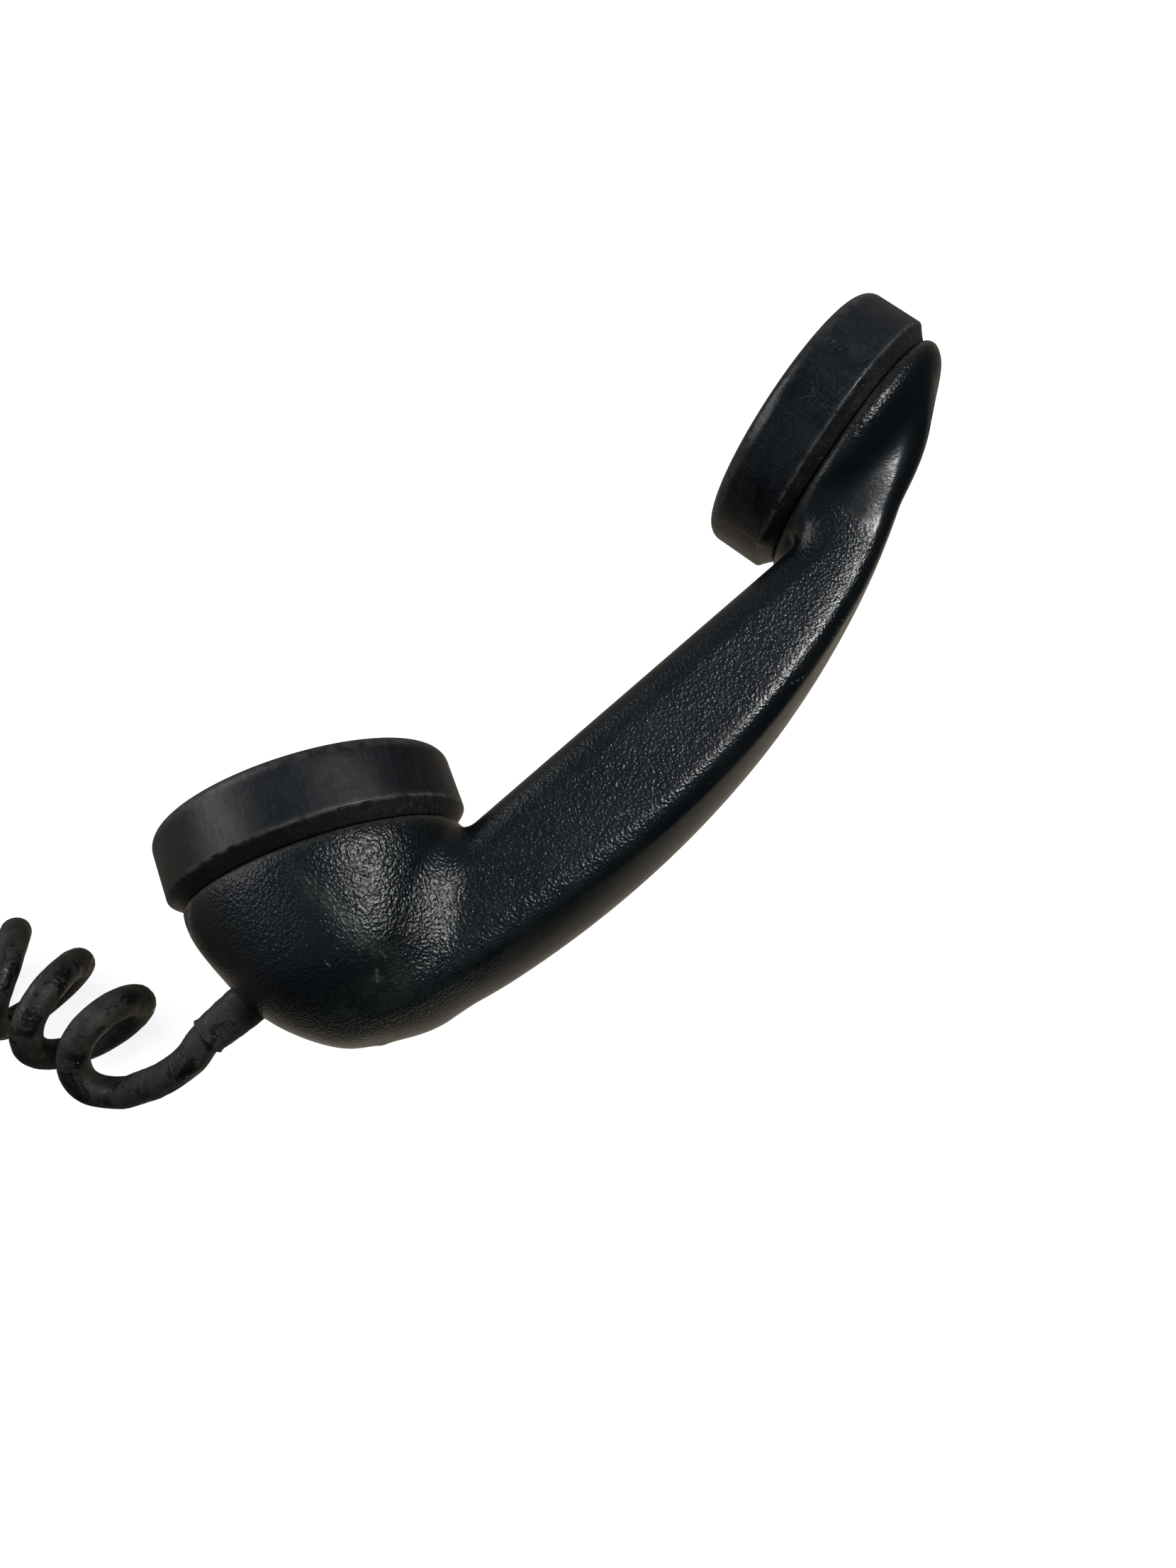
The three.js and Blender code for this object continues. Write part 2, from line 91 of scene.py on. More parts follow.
def handset_axes():
    mouth, ear = (np.array(joint(f"{end}_cap_turn")["axis"]) for end in ("transmitter", "receiver"))
    mouth = mouth / np.linalg.norm(mouth)
    across = np.cross(mouth, ear)
    across /= np.linalg.norm(across)
    return np.array([np.cross(mouth, across), mouth, across])


AXES = handset_axes()
ORIGIN = np.array(joint("transmitter_cap_turn")["pos_m"])


def to_row(points):
    return np.asarray(points, float) * MM @ AXES + ORIGIN


def to_handset(points):
    return (np.asarray(points, float) - ORIGIN) @ AXES.T / MM


EAR = to_handset(joint("receiver_cap_turn")["pos_m"])[:2]
EAR_AXIS = np.array(joint("receiver_cap_turn")["axis"]) @ AXES.T
EAR_TILT = math.atan2(-EAR_AXIS[0], EAR_AXIS[1])

# ---------------------------------------------------------------- helpers


def smoothstep(low, high, value):
    t = np.clip((value - low) / (high - low), 0, 1)
    return t * t * (3 - 2 * t)


def spline(points, per_span):
    """A smooth line through the points, with per_span steps between two of them."""
    p = np.array(points, float)
    p = np.vstack([2 * p[0] - p[1], p, 2 * p[-1] - p[-2]])
    t = np.linspace(0, 1, per_span, endpoint=False)[:, None]
    spans = []
    for a, b, c, d in zip(p[:-3], p[1:-2], p[2:-1], p[3:]):
        spans.append(0.5 * (2 * b + (c - a) * t + (2 * a - 5 * b + 4 * c - d) * t**2
                            + (3 * b - a - 3 * c + d) * t**3))
    return np.vstack([*spans, p[-2:-1]])


def distances(points):
    steps = np.linalg.norm(np.diff(points, axis=0), axis=1)
    return np.concatenate([[0], np.cumsum(steps)])


def resampled(points, step):
    """The same line with points an even step apart."""
    along = distances(points)
    wanted = np.linspace(0, along[-1], max(2, round(along[-1] / step) + 1))
    return np.stack([np.interp(wanted, along, points[:, i]) for i in range(points.shape[1])], 1)


def lumps(points, size, count=10, seed=SEED):
    """Smooth uneven values of about -1 to 1 at each point, with features of about that size."""
    rng = np.random.default_rng(seed)
    waves = rng.normal(size=(count, points.shape[1]))
    waves *= TURN / size / np.linalg.norm(waves, axis=1)[:, None] * rng.uniform(0.6, 1.5, (count, 1))
    return np.sin(points @ waves.T + rng.uniform(0, TURN, count)).sum(1) * math.sqrt(2 / count) / 1.5


def make_piece(name, vertices, faces, material, values=None, normals=None):
    """A smooth mesh in the row frame, in metres, with a float for each vertex in each value."""
    mesh = bpy.data.meshes.new(name)
    mesh.from_pydata(np.asarray(vertices, float).tolist(), [], [list(map(int, f)) for f in faces])
    for label, numbers in (values or {}).items():
        mesh.attributes.new(label, "FLOAT", "POINT").data.foreach_set(
            "value", np.asarray(numbers, np.float32))
    mesh.polygons.foreach_set("use_smooth", [True] * len(mesh.polygons))
    if normals is not None:
        mesh.normals_split_custom_set_from_vertices(np.asarray(normals, float).tolist())
    mesh.materials.append(material)
    return in_scene(name, mesh)


def frames_along(points):
    """Two unit vectors square to the line at each point, which turn as little as possible."""
    tangents = np.gradient(points, axis=0)
    tangents /= np.linalg.norm(tangents, axis=1)[:, None]
    side = np.cross(tangents[0], [0.0, 0.0, 1.0])
    sides = []
    for tangent in tangents:
        side = side - tangent * (side @ tangent)
        side = side / np.linalg.norm(side)
        sides.append(side)
    sides = np.array(sides)
    return sides, np.cross(tangents, sides)


def tube(points, radii, sides):
    """A closed tube: its vertices, faces, and each vertex's outward direction."""
    u, v = frames_along(points)
    angles = np.arange(sides) * TURN / sides
    out = u[:, None] * np.cos(angles)[None, :, None] + v[:, None] * np.sin(angles)[None, :, None]
    skin = points[:, None] + out * np.asarray(radii).reshape(len(points), -1, 1)
    grid = np.arange(skin.shape[0] * sides).reshape(-1, sides)
    following = np.roll(grid, -1, 1)
    faces = np.stack([grid[:-1], following[:-1], following[1:], grid[1:]], -1).reshape(-1, 4)
    caps = [grid[0][::-1], grid[-1]]
    return skin.reshape(-1, 3), [*faces, *caps], out.reshape(-1, 3)


def lathe(outline, steps):
    """A turned skin about +Y from [radius, height] points that go from axis to axis or in a loop."""
    rings = np.array([p for p in outline if p[0] > ON_AXIS], float)
    angles = np.arange(steps) * TURN / steps
    vertices = np.stack([rings[:, :1] * np.cos(angles), np.repeat(rings[:, 1:], steps, 1),
                         rings[:, :1] * np.sin(angles)], -1).reshape(-1, 3)
    grid = np.arange(len(vertices)).reshape(-1, steps)
    following = np.roll(grid, -1, 1)
    faces = np.stack([grid, np.roll(grid, -1, 0), np.roll(following, -1, 0), following], -1)
    if outline[0][0] > ON_AXIS:
        return vertices, faces.reshape(-1, 4)
    first, last = len(vertices), len(vertices) + 1
    faces = [*faces[:-1].reshape(-1, 4)]
    faces += [(first, a, b) for a, b in zip(grid[0], following[0])]
    faces += [(last, b, a) for a, b in zip(grid[-1], following[-1])]
    return np.vstack([vertices, [(0, outline[0][1], 0), (0, outline[-1][1], 0)]]), faces


def arc(centre, radius, start, end, count):
    turns = np.linspace(math.radians(start), math.radians(end), count)
    return [(centre[0] + radius * math.cos(t), centre[1] + radius * math.sin(t)) for t in turns]


# ---------------------------------------------------------------- materials


class Nodes:
    """A node tree. The calls add nodes to it, and most return the last one's output."""

    def __init__(self, tree):
        self.tree = tree

    def find(self, kind):
        return next(n for n in self.tree.nodes if n.type == kind)

    def add(self, kind, **settings):
        node = self.tree.nodes.new(kind)
        for name, value in settings.items():
            setattr(node, name, value)
        return node

    def put(self, socket, value):
        if isinstance(value, bpy.types.NodeSocket):
            self.tree.links.new(value, socket)
        else:
            socket.default_value = value

    def fade(self, value, low, high, start=0.0, end=1.0):
        node = self.add("ShaderNodeMapRange", interpolation_type="SMOOTHSTEP")
        self.put(node.inputs["Value"], value)
        for name, number in (("From Min", low), ("From Max", high), ("To Min", start), ("To Max", end)):
            self.put(node.inputs[name], number)
        return node.outputs["Result"]

    def tint(self, share, under, over):
        node = self.add("ShaderNodeMix", data_type="RGBA")
        self.put(node.inputs["Factor"], share)
        for socket, color in ((node.inputs[6], under), (node.inputs[7], over)):
            self.put(socket, color if isinstance(color, bpy.types.NodeSocket) else (*color, 1))
        return node.outputs[2]


class Paint(Nodes):
    """A material's nodes, with sizes in millimetres."""

    def __init__(self, name):
        self.material = bpy.data.materials.new(name)
        self.material.use_nodes = True
        super().__init__(self.material.node_tree)
        self.shader = self.find("BSDF_PRINCIPLED")
        self.place = self.vector("SCALE", self.add("ShaderNodeTexCoord").outputs["Object"], 1 / MM)

    def vector(self, operation, a, b):
        node = self.add("ShaderNodeVectorMath", operation=operation)
        self.put(node.inputs[0], a)
        self.put(node.inputs["Scale" if operation == "SCALE" else 1], b)
        return node.outputs[0]

    def stretched(self, scale, turn=(0, 0, 0)):
        node = self.add("ShaderNodeMapping")
        self.put(node.inputs["Vector"], self.place)
        node.inputs["Rotation"].default_value = turn
        node.inputs["Scale"].default_value = scale
        return node.outputs[0]

    def noise(self, size, detail=3.0, roughness=0.55, distortion=0.0, place=None):
        node = self.add("ShaderNodeTexNoise")
        self.put(node.inputs["Vector"], place or self.place)
        for name, value in (("Scale", 1 / size), ("Detail", detail), ("Roughness", roughness),
                            ("Distortion", distortion)):
            node.inputs[name].default_value = value
        return node.outputs["Fac"]

    def cells(self, size, feature="SMOOTH_F1", place=None):
        node = self.add("ShaderNodeTexVoronoi", feature=feature)
        self.put(node.inputs["Vector"], place or self.place)
        node.inputs["Scale"].default_value = 1 / size
        if feature == "SMOOTH_F1":
            node.inputs["Smoothness"].default_value = 0.5
        return node.outputs["Distance"]

    def math(self, operation, a, b=0.0):
        node = self.add("ShaderNodeMath", operation=operation)
        self.put(node.inputs[0], a)
        self.put(node.inputs[1], b)
        return node.outputs[0]

    def times(self, *values):
        result = values[0]
        for value in values[1:]:
            result = self.math("MULTIPLY", result, value)
        return result

    def value(self, name):
        return self.add("ShaderNodeAttribute", attribute_name=name).outputs["Fac"]

    def bump(self, height, distance, before=None):
        node = self.add("ShaderNodeBump")
        node.inputs["Distance"].default_value = distance * MM
        self.put(node.inputs["Height"], height)
        if before:
            self.put(node.inputs["Normal"], before)
        return node.outputs["Normal"]

    def scratches(self, length, width, turn, low, high):
        """Thin short lines that run along one direction."""
        place = self.stretched((1 / length, 1 / width, 1 / width), turn)
        lines = self.fade(self.noise(1.0, 2.0, 0.5, 0.4, place), low, high)
        return self.times(lines, self.fade(self.noise(length * 1.5, 2.0), 0.45, 0.6))

    def stroke(self, start, end, width):
        """A mark of that width between two places of the handset's own frame."""
        first, span = to_row(start) / MM, (to_row(end) - to_row(start)) / MM
        offset = self.vector("SUBTRACT", self.place, tuple(first))
        share = self.add("ShaderNodeVectorMath", operation="DOT_PRODUCT")
        self.put(share.inputs[0], offset)
        share.inputs[1].default_value = tuple(span / (span @ span))
        share = self.fade(share.outputs["Value"], 0, 1)
        gap = self.add("ShaderNodeVectorMath", operation="DISTANCE")
        self.put(gap.inputs[0], offset)
        self.put(gap.inputs[1], self.vector("SCALE", tuple(span), share))
        return self.fade(gap.outputs["Value"], 0.3 * width, width, 1.0, 0.0)

    def strokes(self, rows):
        marks = self.stroke(*rows[0])
        for row in rows[1:]:
            marks = self.math("MAXIMUM", marks, self.stroke(*row))
        return marks

    def on_wall(self, across, along):
        """A place on a turned wall, pulled out along the axis, for streaks."""
        node = self.add("ShaderNodeCombineXYZ")
        self.put(node.inputs[0], self.times(self.value("around"), 1 / across))
        self.put(node.inputs[1], self.times(self.value("up"), 1 / along))
        return node.outputs[0]

    def finish(self, color, roughness, normal=None, metallic=0.0, specular=0.5):
        self.put(self.shader.inputs["Base Color"], color)
        self.put(self.shader.inputs["Roughness"], roughness)
        self.shader.inputs["Metallic"].default_value = metallic
        self.shader.inputs["Specular IOR Level"].default_value = specular
        if normal:
            self.put(self.shader.inputs["Normal"], normal)
        return self.material


BLACK = (0.0042, 0.0060, 0.0074)
BLACK_WORN = (0.0072, 0.0088, 0.0098)
DUST = (0.075, 0.068, 0.052)
SCUFF = (0.055, 0.062, 0.056)
GREENISH = (0.020, 0.030, 0.025)


def warp(p, size):
    """A small sideways shift at each place, which keeps cells from looking even."""
    node = p.add("ShaderNodeTexNoise")
    p.put(node.inputs["Vector"], p.place)
    node.inputs["Scale"].default_value = 1 / size
    return node.outputs["Color"]


def cap_bakelite(name, dusty, scratched):
    p = Paint(name)
    edge, dust, wall = p.value("edge"), p.value("dust"), p.value("wall")
    cloud = p.noise(14.0, 4.0)
    rubbed = p.fade(p.noise(9.0, 5.0, 0.7, 0.6), 0.42, 0.54)
    if scratched > 0.5:                                # one side is rubbed to a gloss
        side = p.math("ABSOLUTE", p.math("ADD", p.value("around"), 24))
        side = p.math("ADD", side, p.times(p.noise(6.0, 4.0, 0.65), 22))
        rubbed = p.times(p.fade(side, 34, 36.5, 1, 0), p.fade(rubbed, 0, 1, 0.7, 1), wall)
    rare = 0.69 - 0.09 * scratched
    marks = p.math("MAXIMUM", p.scratches(4.0, 0.2, (0.2, 0.9, 0.4), rare, rare + 0.08),
                   p.scratches(2.6, 0.14, (1.1, 0.3, 1.9), rare + 0.01, rare + 0.09))
    color = p.tint(p.fade(cloud, 0.3, 0.7), (0.0052, 0.0064, 0.0078), (0.0082, 0.0092, 0.0104))
    color = p.tint(p.times(rubbed, scratched), color, (0.0016, 0.0030, 0.0052))
    color = p.tint(p.times(marks, 0.25 + 0.5 * scratched), color, (0.07, 0.07, 0.066))
    # the edges are painted paler: partly edge wear, partly a painted highlight along the rounded lower edge and
    # the shoulder
    worn = p.times(edge, p.fade(p.noise(2.2, 4.0, 0.65), 0.38, 0.6, 0.1, 0.9))
    specks = p.times(dust, p.fade(p.noise(0.9, 4.0, 0.75), 0.46, 0.62, 0.0, 0.95))
    color = p.tint(worn, color, (0.12, 0.12, 0.112))
    color = p.tint(specks, color, (0.042, 0.034, 0.022))
    streaks = p.times(p.noise(1.0, 3.0, 0.6, 0.0, p.on_wall(0.5, 7.0)), wall)
    color = p.tint(p.fade(streaks, 0.45, 0.75, 0.0, 0.5), color, (0.0140, 0.0150, 0.0166))
    rough = p.fade(cloud, 0.3, 0.7, 0.34 + dusty, 0.42 + dusty)
    rough = p.math("ADD", rough, p.fade(streaks, 0.3, 0.7, -0.06, 0.06))
    rough = p.math("SUBTRACT", rough, p.times(rubbed, 0.22 * scratched))
    rough = p.math("ADD", rough, p.times(dust, 0.25))
    normal = p.bump(p.noise(0.45, 3.0), 0.02)
    normal = p.bump(streaks, 0.02, normal)
    normal = p.bump(p.noise(5.0, 3.0), 0.12, normal)
    normal = p.bump(marks, -0.05, normal)
    normal = p.bump(p.times(rubbed, p.noise(1.2, 4.0, 0.7)), 0.12 * scratched, normal)
    return p.finish(color, rough, normal)


def cord_rubber():
    p = Paint("cord_rubber")
    under, along = p.value("under"), p.value("along")
    cloud = p.noise(9.0, 5.0, 0.65)
    grime = p.fade(p.noise(3.2, 5.0, 0.7), 0.44, 0.62)
    bare = p.fade(p.noise(5.5, 4.0, 0.6, 0.8), 0.53, 0.59)
    pits = p.fade(p.noise(1.3, 3.0, 0.7), 0.66, 0.74)
    cracks = p.fade(p.cells(2.4, "DISTANCE_TO_EDGE"), 0.0, 0.09, 1.0, 0.0)
    cracks = p.times(cracks, p.fade(p.noise(4.5, 3.0), 0.52, 0.6))
    color = p.tint(p.fade(cloud, 0.35, 0.65), (0.0105, 0.0108, 0.0094), (0.0250, 0.0242, 0.0200))
    color = p.tint(p.times(grime, 0.55), color, (0.052, 0.047, 0.036))
    color = p.tint(p.times(under, p.fade(cloud, 0.3, 0.6, 0.35, 0.9)), color, (0.058, 0.046, 0.030))
    color = p.tint(p.times(bare, 0.9), color, (0.0028, 0.0032, 0.0032))
    color = p.tint(p.math("MAXIMUM", cracks, pits), color, (0.0030, 0.0028, 0.0024))
    rough = p.fade(cloud, 0.3, 0.7, 0.56, 0.72)
    rough = p.math("SUBTRACT", rough, p.times(bare, 0.28))
    rings = p.math("SINE", p.times(along, TURN / 1.1))
    normal = p.bump(p.noise(0.5, 3.0, 0.6), 0.05)
    normal = p.bump(p.noise(2.2, 4.0, 0.6), 0.16, normal)
    normal = p.bump(p.math("MAXIMUM", cracks, pits), -0.12, normal)
    normal = p.bump(p.times(rings, p.fade(p.noise(7.0, 2.0), 0.5, 0.66)), 0.03, normal)
    return p.finish(color, rough, normal)


def plain(name, color, worn, roughness, metallic=0.0, grain=0.6, lines=0.0):
    """A material for a small part: two shades in clouds, fine grain, and lines if it is machined."""
    p = Paint(name)
    cloud = p.noise(6.0, 4.0, 0.6)
    shade = p.tint(p.fade(cloud, 0.35, 0.65), color, worn)
    spots = p.fade(p.noise(1.4, 4.0, 0.7), 0.58, 0.72)
    shade = p.tint(p.times(spots, 0.4), shade, tuple(0.4 * c for c in worn))
    rough = p.fade(cloud, 0.3, 0.7, roughness - 0.08, roughness + 0.08)
    normal = p.bump(p.noise(grain, 3.0), 0.05)
    if lines:
        machined = p.noise(1.0, 2.0, 0.5, 0.0, p.stretched((1 / 20, 1 / lines, 1 / 20)))
        normal = p.bump(machined, 0.02, normal)
    return p.finish(shade, rough, normal, metallic)


def felt():
    p = Paint("felt")
    fibres = p.noise(0.25, 5.0, 0.75, 1.5)
    color = p.tint(p.fade(fibres, 0.35, 0.65), (0.32, 0.29, 0.22), (0.55, 0.52, 0.44))
    p.shader.inputs["Sheen Weight"].default_value = 0.4
    return p.finish(color, 0.95, p.bump(fibres, 0.3))


MOUTH_CAP = cap_bakelite("mouth_cap_bakelite", 0.03, 0.12)
EAR_CAP = cap_bakelite("ear_cap_bakelite", 0.0, 0.85)
RUBBER = cord_rubber()
FIBRE = plain("fibre", (0.13, 0.055, 0.026), (0.20, 0.10, 0.055), 0.75, grain=0.3)
ALUMINIUM = plain("aluminium", (0.62, 0.63, 0.64), (0.5, 0.5, 0.5), 0.38, 1.0, lines=0.3)
STEEL = plain("steel", (0.42, 0.43, 0.45), (0.32, 0.31, 0.30), 0.36, 1.0, lines=0.25)
BRASS = plain("brass", (0.58, 0.41, 0.17), (0.4, 0.27, 0.12), 0.36, 1.0)
COPPER = plain("copper", (0.46, 0.17, 0.08), (0.33, 0.11, 0.05), 0.42, 1.0, lines=0.22)
MOULDING = plain("moulding", (0.022, 0.023, 0.025), (0.034, 0.033, 0.032), 0.55)
TINNED = plain("tinned", (0.50, 0.49, 0.47), (0.36, 0.35, 0.33), 0.4, 1.0)
FELT = felt()
INSULATION = {
    "red": plain("insulation_red", (0.22, 0.022, 0.016), (0.16, 0.02, 0.016), 0.55),
    "black": plain("insulation_black", (0.010, 0.010, 0.011), (0.02, 0.02, 0.02), 0.55),
    "green": plain("insulation_green", (0.022, 0.11, 0.040), (0.02, 0.075, 0.032), 0.55),
    "white": plain("insulation_white", (0.56, 0.53, 0.45), (0.43, 0.40, 0.32), 0.6),
}

# ---------------------------------------------------------------- cord
CORD_RADIUS = 3.5
CORD_EXIT = (-24.2, -24.2)          # in the handset's frame, where the cord's axis meets the bowl
EXIT_HEADING = math.radians(200)
CORD_INSIDE = 10
SLEEVE_OUTSIDE = 9.5
SLEEVE_INSIDE = 6.5
SLEEVE_RADIUS = 4.6
EXIT_WAY = np.array([math.cos(EXIT_HEADING), math.sin(EXIT_HEADING), 0])


def at_exit(distance):
    """A point on the cord's axis, in metres, at that distance outside the bowl."""
    return to_row(np.array([*CORD_EXIT, 0]) + EXIT_WAY * distance)


# The free cord's route in metres: down to the curly part, its middle line round the bend,
# and the last stretch over the surface to the grommet.
LEAD_ROUTE = np.array([(-120.6, -4.6, 24.9), (-128.2, -1.3, 21), (-135.6, 4.6, 16),
                       (-140.5, 9.6, 12.4)]) * MM
CURL_ROUTE = np.array([(-134.7, 14.8), (-138, 23.1), (-144.6, 39.2), (-152.5, 57.6), (-163, 70.4),
                       (-179, 75.1), (-194.8, 69.9), (-204.8, 56.7), (-215.1, 28.4),
                       (-225.4, 0.1), (-235.6, -27.9)]) * MM
TAIL_ROUTE = np.array([(-228.8, -31.2, 3.6), (-230.6, -37, 3.6), (-236.5, -43, 3.6),
                       (-246, -46.6, 3.6), (-257, -47.2, 3.6), (-267, -43.4, 3.6),
                       (-272.3, -35.6, 3.8), (-272.8, -24.9, 4.8), (-269.4, -15.5, 6.2),
                       (-268, -11.7, 6.5)]) * MM
TAIL_HEADING = math.radians(70)

TURN_RADIUS = 10.3 * MM             # of the cord's middle line in the curly part
FIRST_TURN = -0.25                  # the curly part starts a quarter turn before its first top
FIRST_TOP = 6.2 * MM                # where that top is along the middle line
STRETCHED_PITCH = 19.76 * MM        # the first turns are pulled apart
BEND_PITCH = 11.5 * MM
RUN_PITCH = 7.45 * MM               # the rest lies turn against turn
STRETCHED_TURNS = 2.0
BEND_FROM, BEND_TO = 46 * MM, 106 * MM
STEPS_A_TURN = 120
PULLED_ASIDE = np.array([0.7, -0.5, 0]) * MM    # the pulled turns hang off the middle line
JOIN_REACH = 9 * MM                 # how far the easing of a join spreads
JOIN_PASSES = 90
FIRST_JOIN_SHIFT = np.array([-1.9, -0.2, -0.5]) * MM    # the easing pulls inwards, this back out


def pitch_at(s):
    """How far a turn carries the cord on, at a distance along the curly part's route."""
    opening = smoothstep(BEND_FROM, BEND_FROM + 16 * MM, s)
    closing = smoothstep(BEND_TO, BEND_TO + 14 * MM, s)
    return STRETCHED_PITCH + (BEND_PITCH - STRETCHED_PITCH) * opening + (RUN_PITCH - BEND_PITCH) * closing


def curl_points():
    """The curly part's middle line: a circle that is carried along the route, one turn a pitch."""
    line = resampled(spline(CURL_ROUTE, 20), 0.5 * MM)
    along = distances(line)
    heading = np.unwrap(np.arctan2(*np.gradient(line, axis=0).T[::-1]))
    s = np.arange(FIRST_TOP + FIRST_TURN * STRETCHED_PITCH, along[-1] - 8 * MM, 0.1 * MM)
    turns = FIRST_TURN + distances(np.cumsum(0.1 * MM / pitch_at(s))[:, None])
    end = math.floor(turns[-1]) + 0.5             # it ends at the bottom of a turn
    after = np.maximum(turns - STRETCHED_TURNS, 0)
    turns = np.minimum(turns, STRETCHED_TURNS) + after * (end - STRETCHED_TURNS) / after[-1]
    t = np.arange(FIRST_TURN, end + 1e-9, 1 / STEPS_A_TURN)
    s = np.interp(t, turns, s)
    loose = 1 - smoothstep(STRETCHED_TURNS, STRETCHED_TURNS + 1.5, t)
    pulled = np.minimum(t, STRETCHED_TURNS)
    yaw = np.radians(-22.5 + 14.2 * pulled) * loose     # the pulled turns stand askew
    lean = np.radians(-4.2 - 15.1 * pulled) * loose
    radius = TURN_RADIUS * (1 + 0.03 * loose + 0.012 * np.sin(2.3 * t) * (1 - loose))
    h = np.interp(s, along, heading) + yaw
    side = np.stack([np.sin(h), -np.cos(h), 0 * h], 1)
    up = np.stack([np.sin(lean) * np.cos(h), np.sin(lean) * np.sin(h), np.cos(lean)], 1)
    middle = np.stack([*(np.interp(s, along, line[:, i]) for i in (0, 1)),
                       CORD_RADIUS * MM + radius * np.cos(lean)], 1)
    middle += loose[:, None] * PULLED_ASIDE
    angle = (t * TURN)[:, None]
    return middle + radius[:, None] * (np.sin(angle) * side + np.cos(angle) * up)


def cord_points():
    """The whole cord's middle line, from inside the bowl to the grommet."""
    curl = curl_points()
    lead = [at_exit(-CORD_INSIDE), at_exit(0), at_exit(SLEEVE_OUTSIDE), *LEAD_ROUTE]
    reach = STEPS_A_TURN // 10
    lead = spline([*lead, curl[0], curl[reach]], 24)[:-24]
    out = curl[-1] + np.array([(6.5, -4.6, 0)]) * MM
    tail = spline([curl[-1 - reach], curl[-1], *out, *TAIL_ROUTE], 16)[16:]
    line = resampled(np.vstack([lead[:-1], curl, tail[1:]]), 0.9 * MM)
    joins = [np.exp(-(np.linalg.norm(line - end, axis=1) / JOIN_REACH) ** 2)
             for end in (curl[0], curl[-1])]
    ease = sum(joins)
    for _ in range(JOIN_PASSES):
        line[1:-1] += 0.25 * ease[1:-1, None] * (line[:-2] + line[2:] - 2 * line[1:-1])
    line += joins[0][:, None] * FIRST_JOIN_SHIFT
    line[:, 2] = np.maximum(line[:, 2], CORD_RADIUS * MM)
    return line


CORD_LINE = cord_points()
CORD_SIDES = 20


def make_cord():
    along = distances(CORD_LINE)
    wobble = lumps(CORD_LINE, 11 * MM)[:, None] * 0.010
    radii = CORD_RADIUS * MM * (1 + np.repeat(wobble, CORD_SIDES, 1))
    vertices, faces, out = tube(CORD_LINE, radii, CORD_SIDES)
    vertices = vertices + out * lumps(vertices, 4 * MM, 14, SEED + 1)[:, None] * 0.035 * MM
    vertices[:, 2] = np.maximum(vertices[:, 2], 0)
    values = {"under": smoothstep(0.1, 0.9, -out[:, 2]), "along": np.repeat(along, CORD_SIDES) / MM}
    cord = make_piece("curly_cord", vertices, faces, RUBBER, values)
    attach(cord, "handset")
    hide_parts("cord_lead", "cord_curl", "cord_tail")
    return cord


def placed(vertices, origin, way):
    """Turned vertices about +Y, in millimetres, put at a point in metres with +Y along way."""
    turn = np.array(Vector((0, 1, 0)).rotation_difference(Vector(way)).to_matrix())
    return np.asarray(vertices) * MM @ turn.T + np.asarray(origin)


def make_sleeve():
    """The rubber sleeve, moulded on the cord, with a rolled end and faint rings."""
    bore = CORD_RADIUS + 0.12
    outline = [(bore, -SLEEVE_INSIDE), (SLEEVE_RADIUS, -SLEEVE_INSIDE)]
    for h in np.linspace(0, SLEEVE_OUTSIDE - 0.8, 22):
        rings = 0.04 * math.sin(2.1 * h) + 0.02 * math.sin(5.2 * h)
        outline.append((SLEEVE_RADIUS - 0.07 * max(h - 1, 0) + rings, h))
    rolled = arc((3.85, SLEEVE_OUTSIDE - 0.4), 0.4, 20, 160, 7)
    outline += [*rolled, (bore, SLEEVE_OUTSIDE - 0.3)]
    vertices, faces = lathe(outline, 48)
    vertices[:, [0, 2]] *= 1 + 0.006 * lumps(vertices, 3.5, 12, SEED + 2)[:, None]
    place = placed(vertices, at_exit(0), EXIT_WAY @ AXES)
    way = vertices * (1, 0, 1)
    outward = (way / np.linalg.norm(way, axis=1)[:, None]) @ AXES
    values = {"under": smoothstep(0.1, 0.9, -outward[:, 2]), "along": vertices[:, 1]}
    sleeve = make_piece("strain_relief_sleeve", place, faces, RUBBER, values)
    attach(sleeve, "handset")
    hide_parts("cord_sleeve")
    return sleeve


CORD = make_cord()
SLEEVE = make_sleeve()

# ---------------------------------------------------------------- the cord's far end
GROMMET_LENGTH = 24
CORD_HEIGHT = 6.5                   # of the cord's axis in the grommet
CONDUCTOR_RADIUS = 0.8
LUG_THICKNESS = 0.8
LUG_BARREL = 4.5
LUG_RADIUS = 1.6
FAR_TURN = np.array([(math.cos(TAIL_HEADING), math.sin(TAIL_HEADING), 0),
                     (-math.sin(TAIL_HEADING), math.cos(TAIL_HEADING), 0), (0, 0, 1)])


def at_far_end(points):
    """Points drawn with the cord along +X over z = 0, in millimetres, in place in metres."""
    return np.asarray(points, float) * MM @ FAR_TURN + (*TAIL_ROUTE[-1][:2], 0)


def along_cord(vertices):
    """Turned vertices about +Y, laid along +X on the cord's axis, as at_far_end takes them."""
    return np.stack([vertices[:, 1], -vertices[:, 0], vertices[:, 2] + CORD_HEIGHT], 1)


